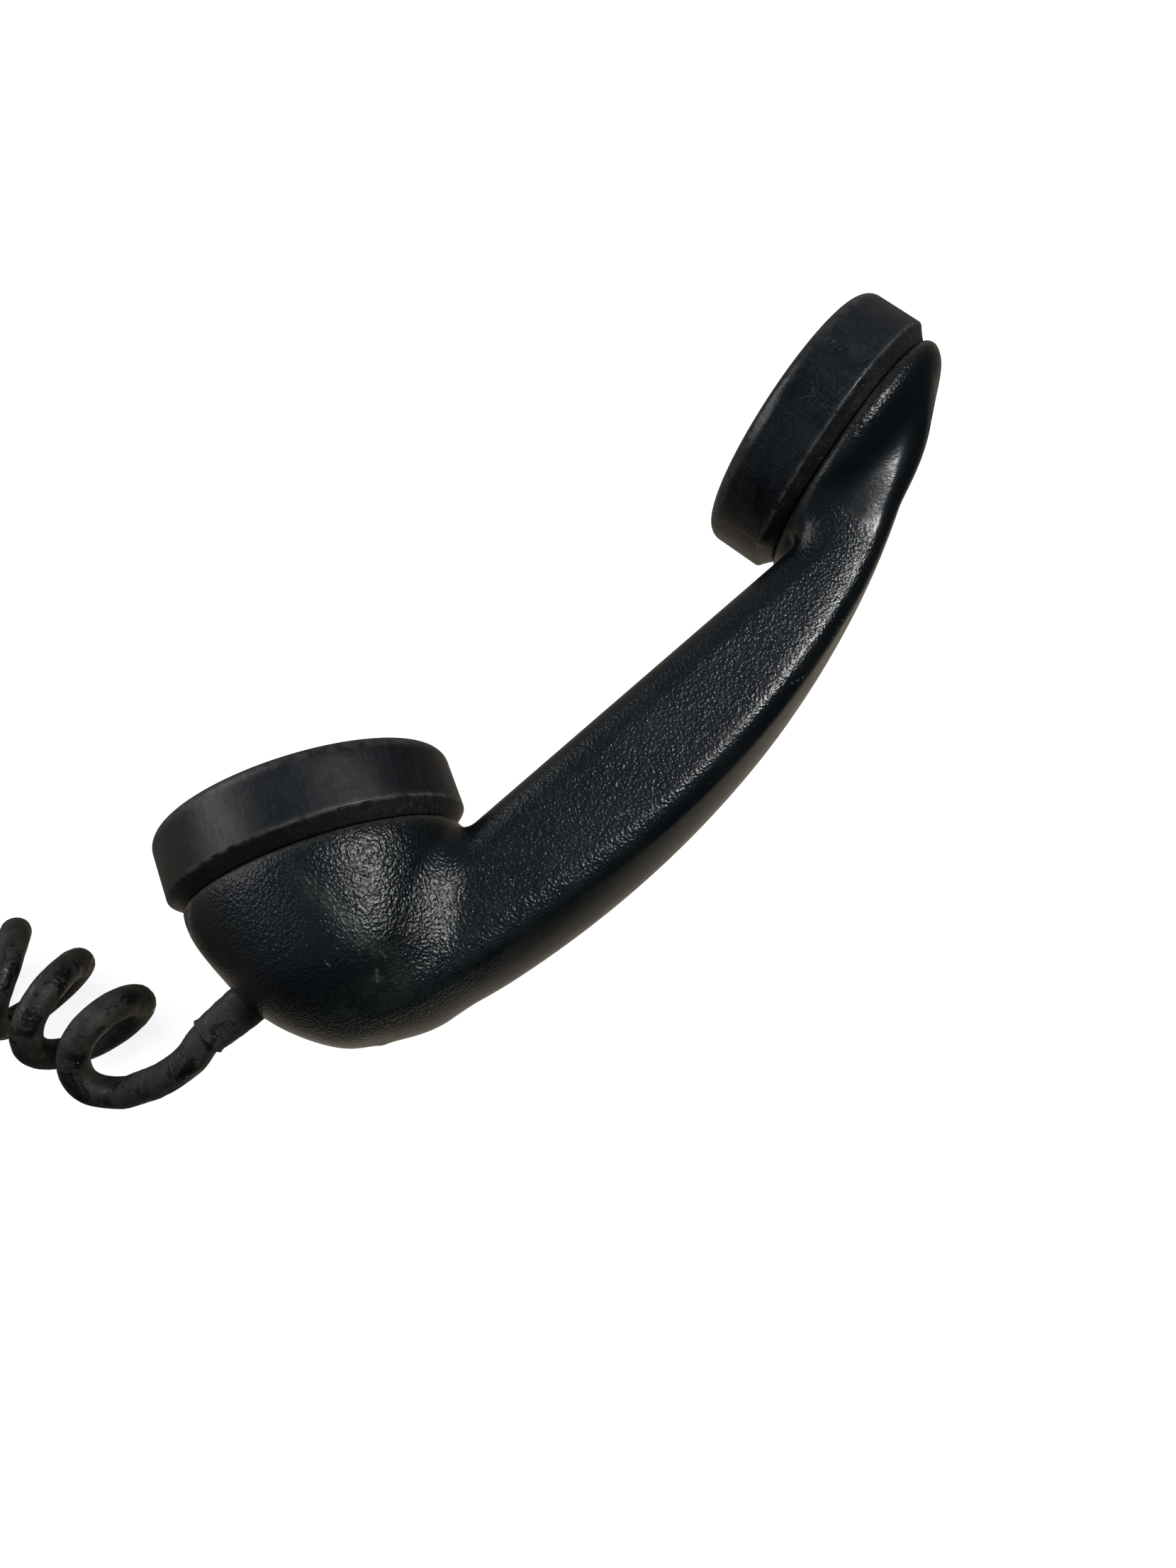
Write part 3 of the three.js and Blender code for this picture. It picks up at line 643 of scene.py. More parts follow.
def make_grommet():
    """A waisted rubber grommet whose groove takes the edge of the telephone's case."""
    bore = CORD_RADIUS + 0.1
    outline = [(bore, 1.2), *arc((4.1, 1.1), 0.5, 180, 340, 7)]
    for x in np.linspace(1.8, 11.6, 16):
        outline.append((4.6 + 0.055 * (x - 1) + 0.16 * abs(math.sin(0.62 * x)) ** 6, x))
    outline += [*arc((5.9, 13.6), 0.6, 240, 360, 6), *arc((5.9, 15.4), 0.6, 0, 90, 5),
                (5.2, 16.1), (5.2, 18.9),              # the groove
                *arc((5.9, 19.5), 0.6, 270, 360, 5), (6.4, 21), *arc((5.3, 23.4), 0.6, 0, 90, 5)]
    vertices, faces = lathe([*outline, (bore, GROMMET_LENGTH)], 56)
    drawn = along_cord(vertices)
    outward = np.stack([0 * vertices[:, 0], -vertices[:, 0], vertices[:, 2]], 1)
    outward /= np.linalg.norm(outward, axis=1)[:, None]
    values = {"under": smoothstep(0.1, 0.9, -outward[:, 2]), "along": vertices[:, 1]}
    grommet = make_piece("case_grommet", at_far_end(drawn), faces, RUBBER, values)
    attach(grommet, "handset")
    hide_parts("cord_grommet")
    return grommet


def make_jacket_end():
    """The end of the cord's jacket, which closes the grommet round the conductors."""
    start = GROMMET_LENGTH - 3.0
    outline = [(0, start), (CORD_RADIUS - 0.05, start), (CORD_RADIUS - 0.05, GROMMET_LENGTH - 0.6),
               *arc((CORD_RADIUS - 0.65, GROMMET_LENGTH - 0.6), 0.6, 0, 90, 5), (0, GROMMET_LENGTH)]
    vertices, faces = lathe(outline, 40)
    drawn = along_cord(vertices)
    values = {"under": 0 * drawn[:, 0] + 0.4, "along": drawn[:, 0]}
    filler = make_piece("jacket_end", at_far_end(drawn), faces, RUBBER, values)
    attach(filler, "handset")
    return filler


def add_fork(bm):
    """A flat fork on z = 0 that points towards +X, with rounded tips and eased edges."""
    upper = [*arc((9.8, 0), 1.7, 180, 90, 7), *arc((12.25, 2.45), 0.75, -90, 90, 9), (7, 3.2), (5.8, 2.7),
             (4.9, 1.6), (3.4, 1.3)]
    outline = [*upper, *[(x, -y) for x, y in reversed(upper[1:])]]
    face = bm.faces.new([bm.verts.new((x, y, 0)) for x, y in outline])
    lifted = bmesh.ops.extrude_face_region(bm, geom=[face])["geom"]
    lifted = [v for v in lifted if isinstance(v, bmesh.types.BMVert)]
    bmesh.ops.translate(bm, vec=(0, 0, LUG_THICKNESS), verts=lifted)
    corners = [e for e in bm.edges if len(e.link_faces) == 2 and e.calc_face_angle() > 1.2]
    bmesh.ops.bevel(bm, geom=corners, offset=0.12, segments=2, profile=0.6, affect="EDGES")


def add_crimp(bm):
    """A strip rolled round the conductor, open along its top and pinched in the middle."""
    around = arc((0, 0), 1, -248, 68, 25)
    rings = []
    for x in np.linspace(0, LUG_BARREL, 10):
        pinch = 1 - 0.16 * math.exp(-((x - 2.3) / 0.7) ** 2)
        loop = [(LUG_RADIUS * a, LUG_RADIUS * pinch * b) for a, b in around]
        loop += [(0.78 * y, 0.78 * z) for y, z in reversed(loop)]
        rings.append([bm.verts.new((x, y, LUG_RADIUS + z)) for y, z in loop])
    for low, high in zip(rings, rings[1:]):
        for a, b, c, d in zip(low, low[1:] + low[:1], high[1:] + high[:1], high):
            bm.faces.new((a, b, c, d))
    half = len(around)
    for ring in (rings[0], rings[-1]):
        outer, inner = ring[:half], ring[half:][::-1]
        for a, b, c, d in zip(outer, outer[1:], inner[1:], inner):
            bm.faces.new((a, b, c, d))


def make_far_end():
    pieces = [make_grommet(), make_jacket_end()]
    for i, color in enumerate(INSULATION):
        side = i - 1.5
        spread, tip = 9 * side, 52 - 3 * abs(side)
        turn = math.atan2(spread * 0.35, 12)
        way = np.array([math.cos(turn), math.sin(turn)])
        root = np.array([tip, spread]) - 0.4 * way
        route = [(GROMMET_LENGTH - 1.2, 1.5 * side, CORD_HEIGHT - 0.1),
                 (GROMMET_LENGTH + 0.3, 1.9 * side, CORD_HEIGHT),
                 (GROMMET_LENGTH + 7.3, 2.4 * side, CORD_HEIGHT - 1),
                 (GROMMET_LENGTH + 15.3, 5 * side, 2.4),
                 *[(*(root + step * way), LUG_RADIUS) for step in (-5, 0, 1.2)]]
        line = resampled(at_far_end(spline(route, 12)), 0.5 * MM)
        vertices, faces, _ = tube(line, np.full((len(line), 1), CONDUCTOR_RADIUS * MM), 16)
        wire = make_piece(f"far_conductor_{color}", vertices, faces, INSULATION[color])
        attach(wire, "handset")
        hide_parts(f"conductor_{color}")
        pieces += [wire, make_lug(color, (tip, spread), turn)]
    return pieces


def make_lug(color, place, turn):
    bm = bmesh.new()
    add_fork(bm)
    add_crimp(bm)
    bmesh.ops.recalc_face_normals(bm, faces=bm.faces)
    lie = Matrix.Translation((*place, 0)) @ Matrix.Rotation(turn, 4, "Z")
    bmesh.ops.transform(bm, matrix=lie, verts=bm.verts)
    mesh = bpy.data.meshes.new(f"spade_lug_{color}")
    bm.to_mesh(mesh)
    bm.free()
    points = np.array([v.co for v in mesh.vertices])
    mesh.vertices.foreach_set("co", at_far_end(points).ravel())
    mesh.polygons.foreach_set("use_smooth", [True] * len(mesh.polygons))
    mesh.set_sharp_from_angle(angle=math.radians(50))
    mesh.materials.append(TINNED)
    lug = in_scene(mesh.name, mesh)
    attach(lug, "handset")
    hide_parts(f"lug_{color}")
    return lug


FAR_END = make_far_end()

# ---------------------------------------------------------------- handle
# The handle is drawn as a distance: below zero inside it, in millimetres, in its own frame.
BACK_CENTRE = (-17.1, 180)          # the grip's back is one arc
BACK_RADIUS = 223.5
INNER_DISTANCE = 192.2              # its finger side is one straight line
INNER_ANGLE = math.radians(21.3)
HALF_WIDTH = 16
FINGER_ROUND = 8
EDGE_ROUND = 3
LIP_RADIUS = 29
BODY_RADIUS = 29.7
RIM_HEIGHT = -3.3
RIM_ROUND = 0.9
CAP_ROOM = 33.2                     # the radius of the room that a cap turns in
NECK_BORE = 24
NECK_TOP, NECK_FOOT = 5, -8
THREAD_RADIUS = 26.7
THREAD_DEPTH = 0.32
THREAD_PITCH = 2.5
CORD_HOLE_RADIUS = 5.2
CHANNEL = [(8, 206), (14, 207), (22, 208), (30, 209), (38, 211.5), (43, 212.5), (47.5, 212)]
CHANNEL_RADIUS = 5.5
BOWL = [(0, -41.7), (8, -39.4), (15.9, -33.6), (22.1, -26.2), (26.3, -17.5), (28.95, -10.6), (29.75, -6.4),
        (BODY_RADIUS, RIM_HEIGHT)]
CUP = [(0, -18.2), (12, -15.9), (21.6, -11.8), (27.4, -8.8), (29.9, -5.8), (BODY_RADIUS, RIM_HEIGHT)]
BOWL_HOLLOW = [(0, -36), (9, -34.5), (15, -30), (19.5, -23), (21.8, -17), (22, -12), (NECK_BORE, -12),
               (NECK_BORE, 9), (0, 9)]
CUP_HOLLOW = [(0, -10.3), (19, -10.3), (NECK_BORE, -6), (NECK_BORE, 9), (0, 9)]
MESH_STEP = 0.8


def round_max(a, b, r):
    """The greater of two distances, with the edge where they meet rounded."""
    return np.minimum(np.maximum(a, b), -r) + np.hypot(np.maximum(a + r, 0), np.maximum(b + r, 0))


def round_min(a, b, r):
    """The lesser of two distances, with the corner where they meet filled in."""
    return np.maximum(np.minimum(a, b), r) - np.hypot(np.maximum(r - a, 0), np.maximum(r - b, 0))


class Turned:
    """The distance to a turned solid, looked up from a grid of radius and height."""

    STEP = 0.25

    def __init__(self, outline):
        points = np.array(outline, float)
        loop = np.vstack([points, points[::-1] * (-1, 1)])
        self.low = np.array([0, points[:, 1].min() - 16])
        r, h = (low + self.STEP * np.arange(int((high - low) / self.STEP))
                for low, high in zip(self.low, (60, 30)))
        r, h = np.meshgrid(r, h, indexing="ij")
        nearest = np.full(r.shape, np.inf)
        inside = np.zeros(r.shape, bool)
        for (r0, h0), (r1, h1) in zip(loop, np.roll(loop, -1, 0)):
            dr, dh = r1 - r0, h1 - h0
            size = dr * dr + dh * dh
            if size < 1e-12:
                continue
            t = np.clip(((r - r0) * dr + (h - h0) * dh) / size, 0, 1)
            nearest = np.minimum(nearest, np.hypot(r - r0 - t * dr, h - h0 - t * dh))
            if dh:
                crosses = (h0 > h) != (h1 > h)
                inside ^= crosses & (r < r0 + (h - h0) * dr / dh)
        self.grid = np.where(inside, -nearest, nearest)

    def __call__(self, radius, height):
        u, v = ((value - low) / self.STEP for value, low in zip((radius, height), self.low))
        rows, columns = self.grid.shape
        held_u, held_v = np.clip(u, 0, rows - 1.001), np.clip(v, 0, columns - 1.001)
        i, j = held_u.astype(int), held_v.astype(int)
        du, dv = held_u - i, held_v - j
        grid = self.grid
        near = grid[i, j] * (1 - du) + grid[i + 1, j] * du
        far = grid[i, j + 1] * (1 - du) + grid[i + 1, j + 1] * du
        return near * (1 - dv) + far * dv + np.hypot(u - held_u, v - held_v) * self.STEP


def capped(outline):
    return [*spline(outline, 8), (BODY_RADIUS, 4), (0, 4)]


BOWL_SOLID, CUP_SOLID = Turned(capped(BOWL)), Turned(capped(CUP))
BOWL_SPACE, CUP_SPACE = Turned(BOWL_HOLLOW), Turned(CUP_HOLLOW)


def about_ear(x, y):
    """The same place across and along the receiver's own axis."""
    dx, dy = x - EAR[0], y - EAR[1]
    return (dx * math.cos(EAR_TILT) + dy * math.sin(EAR_TILT),
            -dx * math.sin(EAR_TILT) + dy * math.cos(EAR_TILT))


def about_back(x, y):
    """Distance from the centre of the back's arc, and degrees along it."""
    dx, dy = x - BACK_CENTRE[0], BACK_CENTRE[1] - y
    return np.hypot(dx, dy), np.degrees(np.arctan2(dx, dy))


def grip_distance(x, y, z):
    """The grip: a crowned back, a side, a straight finger side and two ends, all rounded."""
    radius, along = about_back(x, y)
    width = np.abs(z)
    crown = np.clip(7 - 0.23 * (along - 16), 1.3, 7)
    back = radius - BACK_RADIUS + crown * (width / HALF_WIDTH) ** 2
    back = back / np.hypot(1, 2 * crown * width / HALF_WIDTH**2)
    back = back + 1.1 * (1 - smoothstep(4, 12, along))                # it sinks at its ends
    back = back - 0.3 * (1 - smoothstep(30, 42, along)) + 0.9 * smoothstep(40, 52, along)
    side = width - HALF_WIDTH * (1 + 0.6 * smoothstep(40, 58, along))  # it flares to the receiver
    falling = 0.026 * smoothstep(14, 28, along)                        # and rounds off to the back
    side = side + falling * np.maximum(radius - BACK_RADIUS + 8.8, 0) ** 2
    fingers = INNER_DISTANCE - radius * np.cos(np.radians(along) - INNER_ANGLE)
    grip = round_max(side, back, EDGE_ROUND)
    grip = round_max(grip, fingers, FINGER_ROUND)
    grip = round_max(grip, np.radians(5.5 - along) * radius, 10.0)
    return round_max(grip, np.radians(along - 55.5) * radius, 9.0)


def rim_space(radius, height):
    """The room that a cap turns in, above the flat rim."""
    return round_max(radius - CAP_ROOM, RIM_HEIGHT - height, 1.5)


def neck_distance(radius, height, turn):
    thread = THREAD_RADIUS + THREAD_DEPTH * np.cos(TURN * height / THREAD_PITCH - turn)
    return round_max(radius - thread, np.maximum(height - NECK_TOP, NECK_FOOT - height), 0.4)


def hollows_distance(x, y, z, ear_x, ear_y):
    """The spaces for the capsules, the channel for the wires and the hole for the cord."""
    radius, along = about_back(x, y)
    middle = np.interp(along, *np.array(CHANNEL).T)
    ends = np.radians(np.maximum(CHANNEL[0][0] - along, along - CHANNEL[-1][0])) * radius
    channel = np.maximum(np.hypot(radius - middle, z) - CHANNEL_RADIUS, ends)
    ex, ey = x - CORD_EXIT[0], y - CORD_EXIT[1]
    out = ex * EXIT_WAY[0] + ey * EXIT_WAY[1]
    off = np.sqrt(np.maximum(ex * ex + ey * ey + z * z - out * out, 0))
    hole = np.maximum(off - CORD_HOLE_RADIUS, np.abs(out) - 12)
    spaces = np.minimum(BOWL_SPACE(np.hypot(x, z), y), CUP_SPACE(np.hypot(ear_x, z), ear_y))
    return np.minimum(np.minimum(channel, hole), spaces)


def handle_distance(x, y, z):
    """The whole handle: the grip melts into the bowl and the cup, and the necks stand on them."""
    ear_x, ear_y = about_ear(x, y)
    mouth, ear = np.hypot(x, z), np.hypot(ear_x, z)
    wide = 1 + 0.13 * (1 - smoothstep(-30, -8, y))
    bowl_fill = 9 - 3 * smoothstep(-38, -30, y) - smoothstep(-16, -6, y)
    body = round_min(grip_distance(x, y, z), BOWL_SOLID(np.hypot(x, z / wide), y), bowl_fill)
    cup_fill = 3 + 6 * smoothstep(6, 16, np.abs(z))
    body = round_min(body, CUP_SOLID(ear, ear_y), cup_fill)
    for radius, height, across in ((mouth, y, x), (ear, ear_y, ear_x)):
        body = round_max(body, -rim_space(radius, height), RIM_ROUND)
        body = round_min(body, neck_distance(radius, height, np.arctan2(z, across)), 0.4)
    return round_max(body, -hollows_distance(x, y, z, ear_x, ear_y), 0.35)


def surface_net(distance, low, high, step):
    """Points and four-sided faces of the surface where a distance is zero."""
    axes = [np.arange(a, b, step) for a, b in zip(low, high)]
    values = np.stack([distance(*np.meshgrid([x], *axes[1:], indexing="ij"))[0] for x in axes[0]])
    inside = values < 0
    shape = np.array(inside.shape)
    corners = [np.array(c) for c in np.ndindex(2, 2, 2)]
    full = sum(inside[tuple(slice(c, n - 1 + c) for c, n in zip(corner, shape))].astype(np.int8)
               for corner in corners)
    crossed = (full > 0) & (full < 8)
    numbers = np.full(crossed.shape, -1)
    numbers[crossed] = np.arange(crossed.sum())
    cells = np.argwhere(crossed)
    total, count = np.zeros((len(cells), 3)), np.zeros((len(cells), 1))
    for corner in corners:
        for axis in range(3):
            if corner[axis]:
                continue
            other = corner + np.eye(3, dtype=int)[axis]
            a, b = values[tuple((cells + corner).T)], values[tuple((cells + other).T)]
            cut = ((a < 0) != (b < 0))[:, None]
            share = (a / np.where(a == b, 1, a - b))[:, None]
            total += np.where(cut, cells + corner + share * (other - corner), 0)
            count += cut
    points = np.array(low) + step * total / count
    faces = []
    for axis in range(3):
        u, v = (k for k in range(3) if k != axis)
        window = [slice(1, -1)] * 3
        window[axis] = slice(0, -1)
        edges = np.argwhere((inside != np.roll(inside, -1, axis))[tuple(window)])
        edges[:, [u, v]] += 1
        around = []
        for du, dv in ((-1, -1), (0, -1), (0, 0), (-1, 0)):
            cell = edges.copy()
            cell[:, u] += du
            cell[:, v] += dv
            around.append(numbers[tuple(cell.T)])
        quads = np.stack(around, 1)
        flipped = inside[tuple(edges.T)] == (axis == 1)
        quads[flipped] = quads[flipped][:, ::-1]
        faces.append(quads)
    return points, np.vstack(faces)


def slope(distance, points, reach=0.05):
    steps = np.eye(3) * reach
    return np.stack([(distance(*(points + s).T) - distance(*(points - s).T)) / (2 * reach)
                     for s in steps], 1)


# Scratches on the bowl and the grip's lower edge, and worn chips near the bowl's rim, each
# from one place to another near the surface, in the handset's frame, and its width.
SCRATCHES = [
    ((0.2, -10, 29), (0.9, -11.6, 29), 0.25), ((3.8, -17, 27.5), (5.4, -20.4, 26.6), 0.35),
    ((5.2, -21, 26), (6.8, -24.4, 25), 0.3), ((7.6, -24, 24.6), (10, -25.4, 23.6), 0.25),
    ((8.2, -27, 22.4), (8.9, -28.6, 21.6), 0.3), ((6.3, -30.2, 20.8), (5.8, -32.6, 19.8), 0.5),
    ((-1.6, -25.4, 24.8), (-1.2, -26.6, 24.3), 0.3), ((118, 2, 14), (121, 5.4, 13.8), 0.35),
    ((86, -9.5, 14.6), (90, -8.6, 14.4), 0.35), ((60, -17.5, 15), (63, -17.2, 15), 0.4),
    ((104, -2.5, 13), (107, -1.8, 12.6), 0.35), ((70, -8, 16), (73, -6.4, 16), 0.3),
]
CHIPS = [((-24, -4.4, 16.6), (-26, -6.4, 14), 1.2), ((-26.6, -7.2, 13.2), (-27.4, -8.8, 11.6), 0.8)]


def on_handle(place):
    """The nearest place on the handle's surface."""
    point = np.array([place], float)
    for _ in range(8):
        way = slope(handle_distance, point)
        point = point - handle_distance(*point.T)[:, None] * way / max(float((way**2).sum()), 0.2)
    return point[0]


def on_surface(rows):
    return [(on_handle(start), on_handle(end), width) for start, end, width in rows]


def bakelite():
    p = Paint("bakelite")
    grain, edge, dust = p.value("grain"), p.value("edge"), p.value("dust")
    pebbles = p.cells(0.64, place=p.vector("ADD", p.place, p.vector("SCALE", warp(p, 1.3), 0.9)))
    fine = p.noise(0.32, 2.0)
    cloud = p.noise(17.0, 4.0)
    patches = p.fade(p.noise(6.0, 5.0, 0.65), 0.52, 0.68)
    marks = p.math("MAXIMUM", p.scratches(5.0, 0.22, (0.3, 0.2, 0.7), 0.72, 0.78),
                   p.scratches(3.0, 0.16, (0.1, 0.5, 2.2), 0.74, 0.8))
    scuffed = p.times(p.value("scuff"), p.fade(p.noise(1.6, 4.0, 0.7), 0.42, 0.6))
    color = p.tint(p.fade(cloud, 0.35, 0.7), BLACK, BLACK_WORN)
    color = p.tint(p.times(p.value("green"), p.fade(p.noise(3.0, 4.0, 0.7), 0.35, 0.6)), color, GREENISH)
    color = p.tint(p.times(marks, 0.55), color, SCUFF)
    color = p.tint(p.times(scuffed, 0.8), color, SCUFF)
    lines = p.times(p.strokes(on_surface(SCRATCHES)), p.fade(p.noise(0.7, 3.0), 0.32, 0.5))
    chips = p.times(p.strokes(on_surface(CHIPS)), p.fade(p.noise(0.9, 4.0, 0.7), 0.4, 0.56))
    color = p.tint(p.times(lines, 0.85), color, (0.085, 0.09, 0.08))
    color = p.tint(p.times(chips, 0.85), color, (0.15, 0.145, 0.12))
    color = p.tint(p.times(dust, p.fade(p.noise(1.1, 4.0, 0.7), 0.3, 0.62)), color, DUST)
    rough = p.fade(cloud, 0.3, 0.7, 0.21, 0.27)
    rough = p.math("ADD", rough, p.times(patches, 0.08))
    rough = p.math("ADD", rough, p.times(p.math("MAXIMUM", dust, scuffed), 0.2))
    rough = p.math("SUBTRACT", rough, p.times(edge, 0.07))
    rough = p.math("SUBTRACT", rough, p.times(p.value("handled"), 0.06))
    normal = p.bump(p.times(pebbles, grain), 0.145)
    normal = p.bump(p.times(fine, p.math("ADD", p.times(grain, 0.8), 0.2)), 0.07, normal)
    normal = p.bump(p.noise(4.0, 3.0), 0.09, normal)
    normal = p.bump(p.math("MAXIMUM", marks, scuffed), -0.03, normal)
    normal = p.bump(p.math("MAXIMUM", lines, chips), -0.08, normal)
    return p.finish(color, rough, normal)


def handle_values(points, normals):
    """Where the moulding is grained, handled, dusty, scuffed or green, from its shape and use."""
    x, y, z = points.T
    ear_x, ear_y = about_ear(x, y)
    on_bowl = 1 - smoothstep(18, 34, x)
    bowl_grain = smoothstep(0.12, 0.45, normals[:, 2]) * on_bowl
    grain = np.maximum(smoothstep(0.6, 0.9, np.abs(normals[:, 2])), bowl_grain)
    saddle = smoothstep(-24, -20, ear_x) * (1 - smoothstep(-9, -6, ear_y))
    grain = grain * (1 - 0.9 * saddle)
    radius, along = about_back(x, y)
    handled = np.exp(-((radius - BACK_RADIUS + 3.5) / 3.0) ** 2) * smoothstep(14, 26, along)
    handled = handled * (1 - 0.8 * smoothstep(34, 44, along))
    grain = grain * (1 - 0.55 * handled)
    front = smoothstep(0.1, 0.5, normals[:, 2])
    rim = np.minimum(np.abs(y - RIM_HEIGHT) + 9 * (np.hypot(x, z) > 31),
                     np.abs(ear_y - RIM_HEIGHT) + 9 * (np.hypot(ear_x, z) > 31))
    dust = 0.75 * np.exp(-(rim / 1.1) ** 2)
    chip = np.exp(-(((x + 27) / 2.6) ** 2 + ((y + 6) / 2.2) ** 2 + ((z - 13) / 4.5) ** 2))
    low_chip = np.exp(-(((x - 6) / 1.6) ** 2 + ((y + 31.3) / 0.8) ** 2)) * front
    off_band = (x - 9 + 0.47 * (y + 29)) / 2.4            # a band of scuffs runs down the bowl
    bowl_scuff = np.exp(-(off_band**2 + ((y + 20) / 8.5) ** 2)) * front
    scuff = np.clip(1.3 * chip + 0.9 * low_chip + 0.6 * bowl_scuff, 0, 1)
    lower_edge = np.exp(-((radius - BACK_RADIUS + 7) / 4.0) ** 2) * (1 - smoothstep(4, 26, along)) * front
    green = np.clip(0.8 * bowl_scuff + 0.5 * lower_edge, 0, 1)
    return {"grain": grain, "dust": np.clip(dust + 0.5 * chip, 0, 1), "scuff": scuff, "green": green,
            "handled": handled}


BAKELITE = bakelite()


def make_handle():
    points, faces = surface_net(handle_distance, (-36, -46, -34), (178, 80, 35), MESH_STEP)
    for _ in range(3):
        way = slope(handle_distance, points)
        push = handle_distance(*points.T) / np.maximum((way**2).sum(1), 0.2)
        points = points - np.clip(push, -0.4, 0.4)[:, None] * way
    normals = slope(handle_distance, points, 0.12)
    normals /= np.maximum(np.linalg.norm(normals, axis=1), 1e-9)[:, None]
    values = handle_values(points, normals)
    bent = np.linalg.norm(normals - slope(handle_distance, points + 0.8 * normals, 0.3), axis=1)
    values["edge"] = smoothstep(0.15, 0.6, bent)
    vertices = to_row(points)
    vertices[:, 2] = np.maximum(vertices[:, 2], 0)     # it lies on the surface
    handle = make_piece("moulded_handle", vertices, faces, BAKELITE, values, normals @ AXES)
    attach(handle, "handset")
    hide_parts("handle")
    return handle


make_handle()

# ---------------------------------------------------------------- caps
CAP_RADIUS = 32
CAP_BORE = 27.5
CAP_LIP = 3
CAP_RIB = 8.6
CAP_ROOF = 2.8
CAP_THREAD_DEPTH = 0.16
SHOULDER = 3.4                      # the radius round the edge of a cap's face
HOLE_RADIUS = 1.35
CAP_STEPS = 160


def face_height(height, dish, radius):
    """A cap's face: flat, or dished in the middle."""
    return height - dish * (1 - smoothstep(0, 1, min(radius / 24.0, 1)) ** 0.8)


def cap_outline(height, dish):
    roof = height - dish - CAP_ROOF
    inside = [(0, roof), *[(r, roof) for r in np.linspace(2, 21.5, 9)], (22.4, roof - 0.3),
              (22.5, CAP_RIB + 0.2), (22.8, CAP_RIB), (CAP_BORE - 0.2, CAP_RIB)]
    bore = [(CAP_BORE, h) for h in np.linspace(CAP_RIB - 0.3, -CAP_LIP + 0.7, 46)]
    lip = [*arc((CAP_BORE + 0.45, -CAP_LIP + 0.45), 0.45, 180, 270, 4),
           *arc((LIP_RADIUS - 0.3, -CAP_LIP + 0.4), 0.4, 270, 315, 3)]
    chamfer = [(LIP_RADIUS + 1.08, -CAP_LIP + 1.32), (CAP_RADIUS - 0.62, -0.5)]
    rim = arc((CAP_RADIUS - 0.55, 0.22), 0.55, -45, 0, 5)
    wall = [(CAP_RADIUS, h) for h in np.linspace(0.9, height - 3.6, 9)]
    top = arc((CAP_RADIUS - SHOULDER, height - SHOULDER), SHOULDER, 6, 84, 12)
    face = [(r, face_height(height, dish, r)) for r in np.linspace(27, 1.2, 24)]
    return [*inside, *bore, *lip, *chamfer, *rim, *wall, *top, *face, (0, height - dish)]


def cap_values(points, height):
    """Where a cap's edges are worn and painted with a highlight, where it is dusty, and where its wall is, with
    its place round it and up it.
    """
    radius, h = np.hypot(points[:, 0], points[:, 2]), points[:, 1]
    outside = radius > CAP_BORE + 0.8
    # the wall's lower edge and, fainter, the top shoulder: edge wear and a painted highlight along the rounding
    edge = np.exp(-((h + 0.1) / 0.28) ** 2) * outside
    shoulder = smoothstep(height - 3.6, height - 2.0, h) * (1 - smoothstep(height - 1.2, height - 0.4, h))
    edge = np.maximum(edge, 0.35 * shoulder * outside)
    dust = np.exp(-((h + 2.0) / 1.4) ** 2) * outside * (0.2 + 0.8 * smoothstep(6, 22, points[:, 0]))
    dust = np.maximum(dust, 0.5 * np.exp(-((radius - 2) / 16) ** 2) * (h > height - 3.6))
    around = CAP_RADIUS * np.arctan2(points[:, 0], points[:, 2])
    wall = smoothstep(CAP_RADIUS - 2, CAP_RADIUS - 0.8, radius)
    return {"edge": edge, "dust": dust, "around": around, "up": h, "wall": wall}


def make_cap(end, height, dish, rows, material):
    vertices, faces = lathe(cap_outline(height, dish), CAP_STEPS)
    radius, h = np.hypot(vertices[:, 0], vertices[:, 2]), vertices[:, 1]
    threaded = (np.abs(radius - CAP_BORE) < 0.01) & (h < CAP_RIB - 0.2)
    turn = np.arctan2(vertices[:, 2], vertices[:, 0])
    thread = CAP_THREAD_DEPTH * (1 - np.cos(TURN * h / THREAD_PITCH - turn)) * threaded
    vertices[:, [0, 2]] *= (1 + thread / CAP_BORE)[:, None]
    axis = np.array(joint(f"{end}_cap_turn")["axis"])
    axis /= np.linalg.norm(axis)
    turned = np.array([np.cross(axis, AXES[2]), axis, AXES[2]])
    origin = np.array(joint(f"{end}_cap_turn")["pos_m"])
    cap = make_piece(f"{end}_screw_cap", vertices, faces, material, cap_values(vertices, height))
    drilled(cap, height, dish, rows)
    mesh = cap.data
    points = np.array([v.co for v in mesh.vertices])
    mesh.vertices.foreach_set("co", (points * MM @ turned + origin).ravel())
    mesh.set_sharp_from_angle(angle=math.radians(42))
    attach(cap, f"{end}_cap")
    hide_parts(f"{end}_cap")
    return cap


def drilled(cap, height, dish, rows):
    """Cuts the holes through the face, each with a small countersink."""
    vertices, faces, first = [], [], 0
    for count, circle in rows:
        top = face_height(height, dish, circle)
        outline = [(0, height - dish - 6), (HOLE_RADIUS, height - dish - 6), (HOLE_RADIUS, top - 0.4),
                   (HOLE_RADIUS + 0.55, top + 0.15), (HOLE_RADIUS + 0.55, top + 3), (0, top + 3)]
        shape, skin = lathe(outline, 24)
        for k in range(count):
            turn = TURN * k / count
            vertices.append(shape + (circle * math.cos(turn), 0, circle * math.sin(turn)))
            faces += [tuple(i + first for i in f) for f in skin]
            first += len(shape)
    cutter = make_piece("drills", np.vstack(vertices), faces, cap.data.materials[0])
    cut = cap.modifiers.new("holes", "BOOLEAN")
    cut.object, cut.operation, cut.solver = cutter, "DIFFERENCE", "EXACT"
    settled = bpy.data.meshes.new_from_object(cap.evaluated_get(bpy.context.evaluated_depsgraph_get()))
    cap.modifiers.clear()
    cap.data = settled
    bpy.data.objects.remove(cutter)


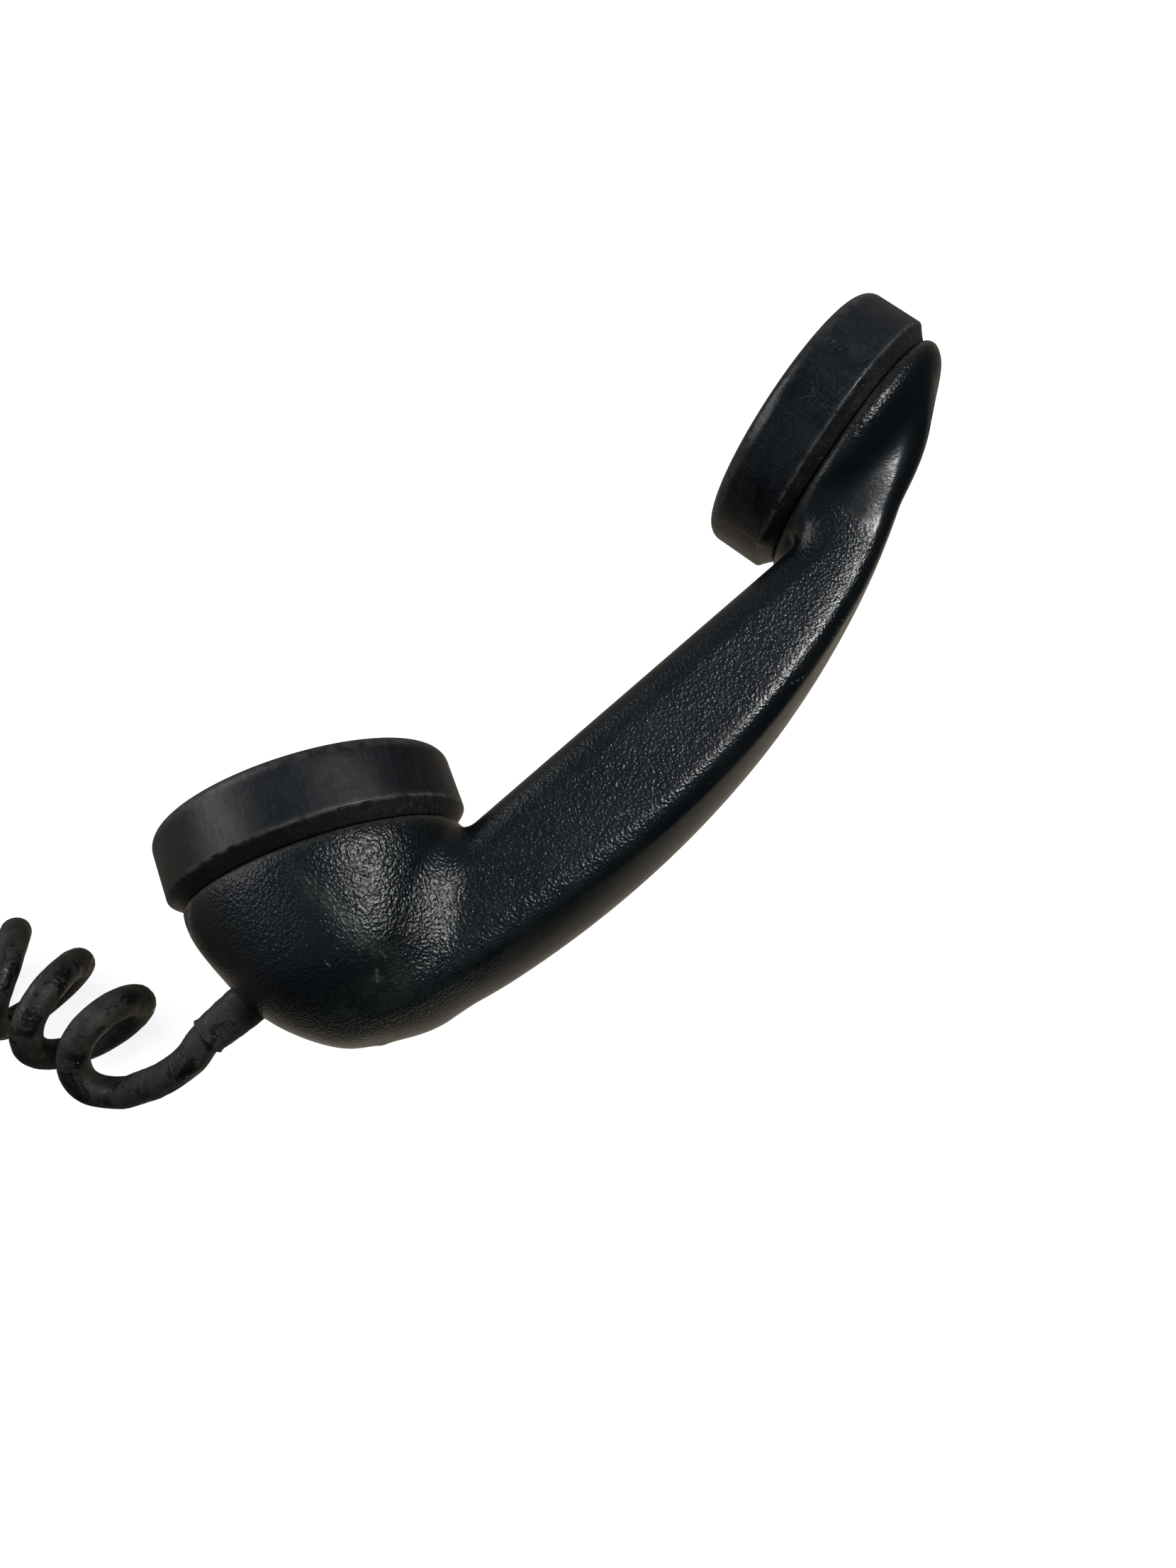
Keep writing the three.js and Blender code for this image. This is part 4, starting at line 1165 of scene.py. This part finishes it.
# Each cap's end, height, dish and material, and its circles of holes: how many, and how far out.
make_cap("transmitter", 13.7, 0.0, [(5, 6), (10, 13)], MOUTH_CAP)
make_cap("receiver", 14.2, 2.6, [(1, 0), (6, 6)], EAR_CAP)

# ---------------------------------------------------------------- the CAD's own nodes
BY_SLOT = {
    "fibre": FIBRE, "aluminium": ALUMINIUM, "steel": STEEL, "brass": BRASS, "copper": COPPER,
    "moulding": MOULDING, "felt": FELT, "tinned": TINNED, "bakelite": BAKELITE,
    "cap_bakelite": MOUTH_CAP, "cord_rubber": RUBBER,
    **{f"insulation_{color}": material for color, material in INSULATION.items()},
}


def paint_nodes():
    """Gives each of the frame's nodes the detailed material of its slot."""
    for part in frame["record"]["subparts"]:
        for place in frame["nodes"][part["node"]].material_slots:
            place.material = BY_SLOT[part["material_slot"]]


paint_nodes()

# ---------------------------------------------------------------- surroundings


def make_floor():
    mesh = bpy.data.meshes.new("floor")
    size = 3.0
    mesh.from_pydata([(-size, -size, 0), (size, -size, 0), (size, size, 0), (-size, size, 0)], [],
                     [(0, 1, 2, 3)])
    p = Paint("floor")
    p.shader.inputs["Emission Color"].default_value = (1, 1, 1, 1)
    p.shader.inputs["Emission Strength"].default_value = 0.85
    mesh.materials.append(p.finish((0.8, 0.8, 0.8, 1), 0.9, specular=0.1))
    floor = in_scene("floor", mesh)
    floor.location.z = -0.2 * MM                       # just under the handset and its cord
    floor.visible_glossy = False
    floor.visible_diffuse = False


def light(name, way, distance, size, power):
    """A soft square lamp that shines at the handset from that direction."""
    data = bpy.data.lights.new(name, "AREA")
    data.size, data.energy = size, power
    lamp = in_scene(name, data)
    way = Vector(way).normalized()
    lamp.location = way * distance
    lamp.rotation_euler = way.to_track_quat("Z", "Y").to_euler()


def make_world():
    """Pale blue from above, brown low behind, dark low in front and warm from straight below."""
    world = bpy.data.worlds.new("studio")
    world.use_nodes = True
    nodes = Nodes(world.node_tree)
    split = nodes.add("ShaderNodeSeparateXYZ")
    nodes.put(split.inputs[0], nodes.add("ShaderNodeTexCoord").outputs["Generated"])

    def blend(axis, low, high, under, over):
        return nodes.tint(nodes.fade(split.outputs[axis], low, high), under, over)

    room = blend("Y", -0.1, 0.6, (0.012, 0.012, 0.012), (0.20, 0.17, 0.14))
    room = blend("Z", -0.92, -0.58, (0.36, 0.32, 0.26), room)
    room = blend("Z", -0.2, 0.45, room, (0.115, 0.145, 0.178))
    nodes.put(nodes.find("BACKGROUND").inputs["Color"], room)
    bpy.context.scene.world = world


make_floor()
light("key", (0.53, -0.60, 0.58), 1.1, 0.22, 6.2)
light("glow", (0.36, -0.42, 0.83), 1.3, 0.7, 0.6)
light("side", (-0.62, 0.28, 0.73), 1.3, 0.6, 2.6)
light("overhead", (-0.35, 0.9, 0.8), 1.5, 0.9, 4.5)
make_world()
bpy.context.scene.view_settings.view_transform = "Standard"
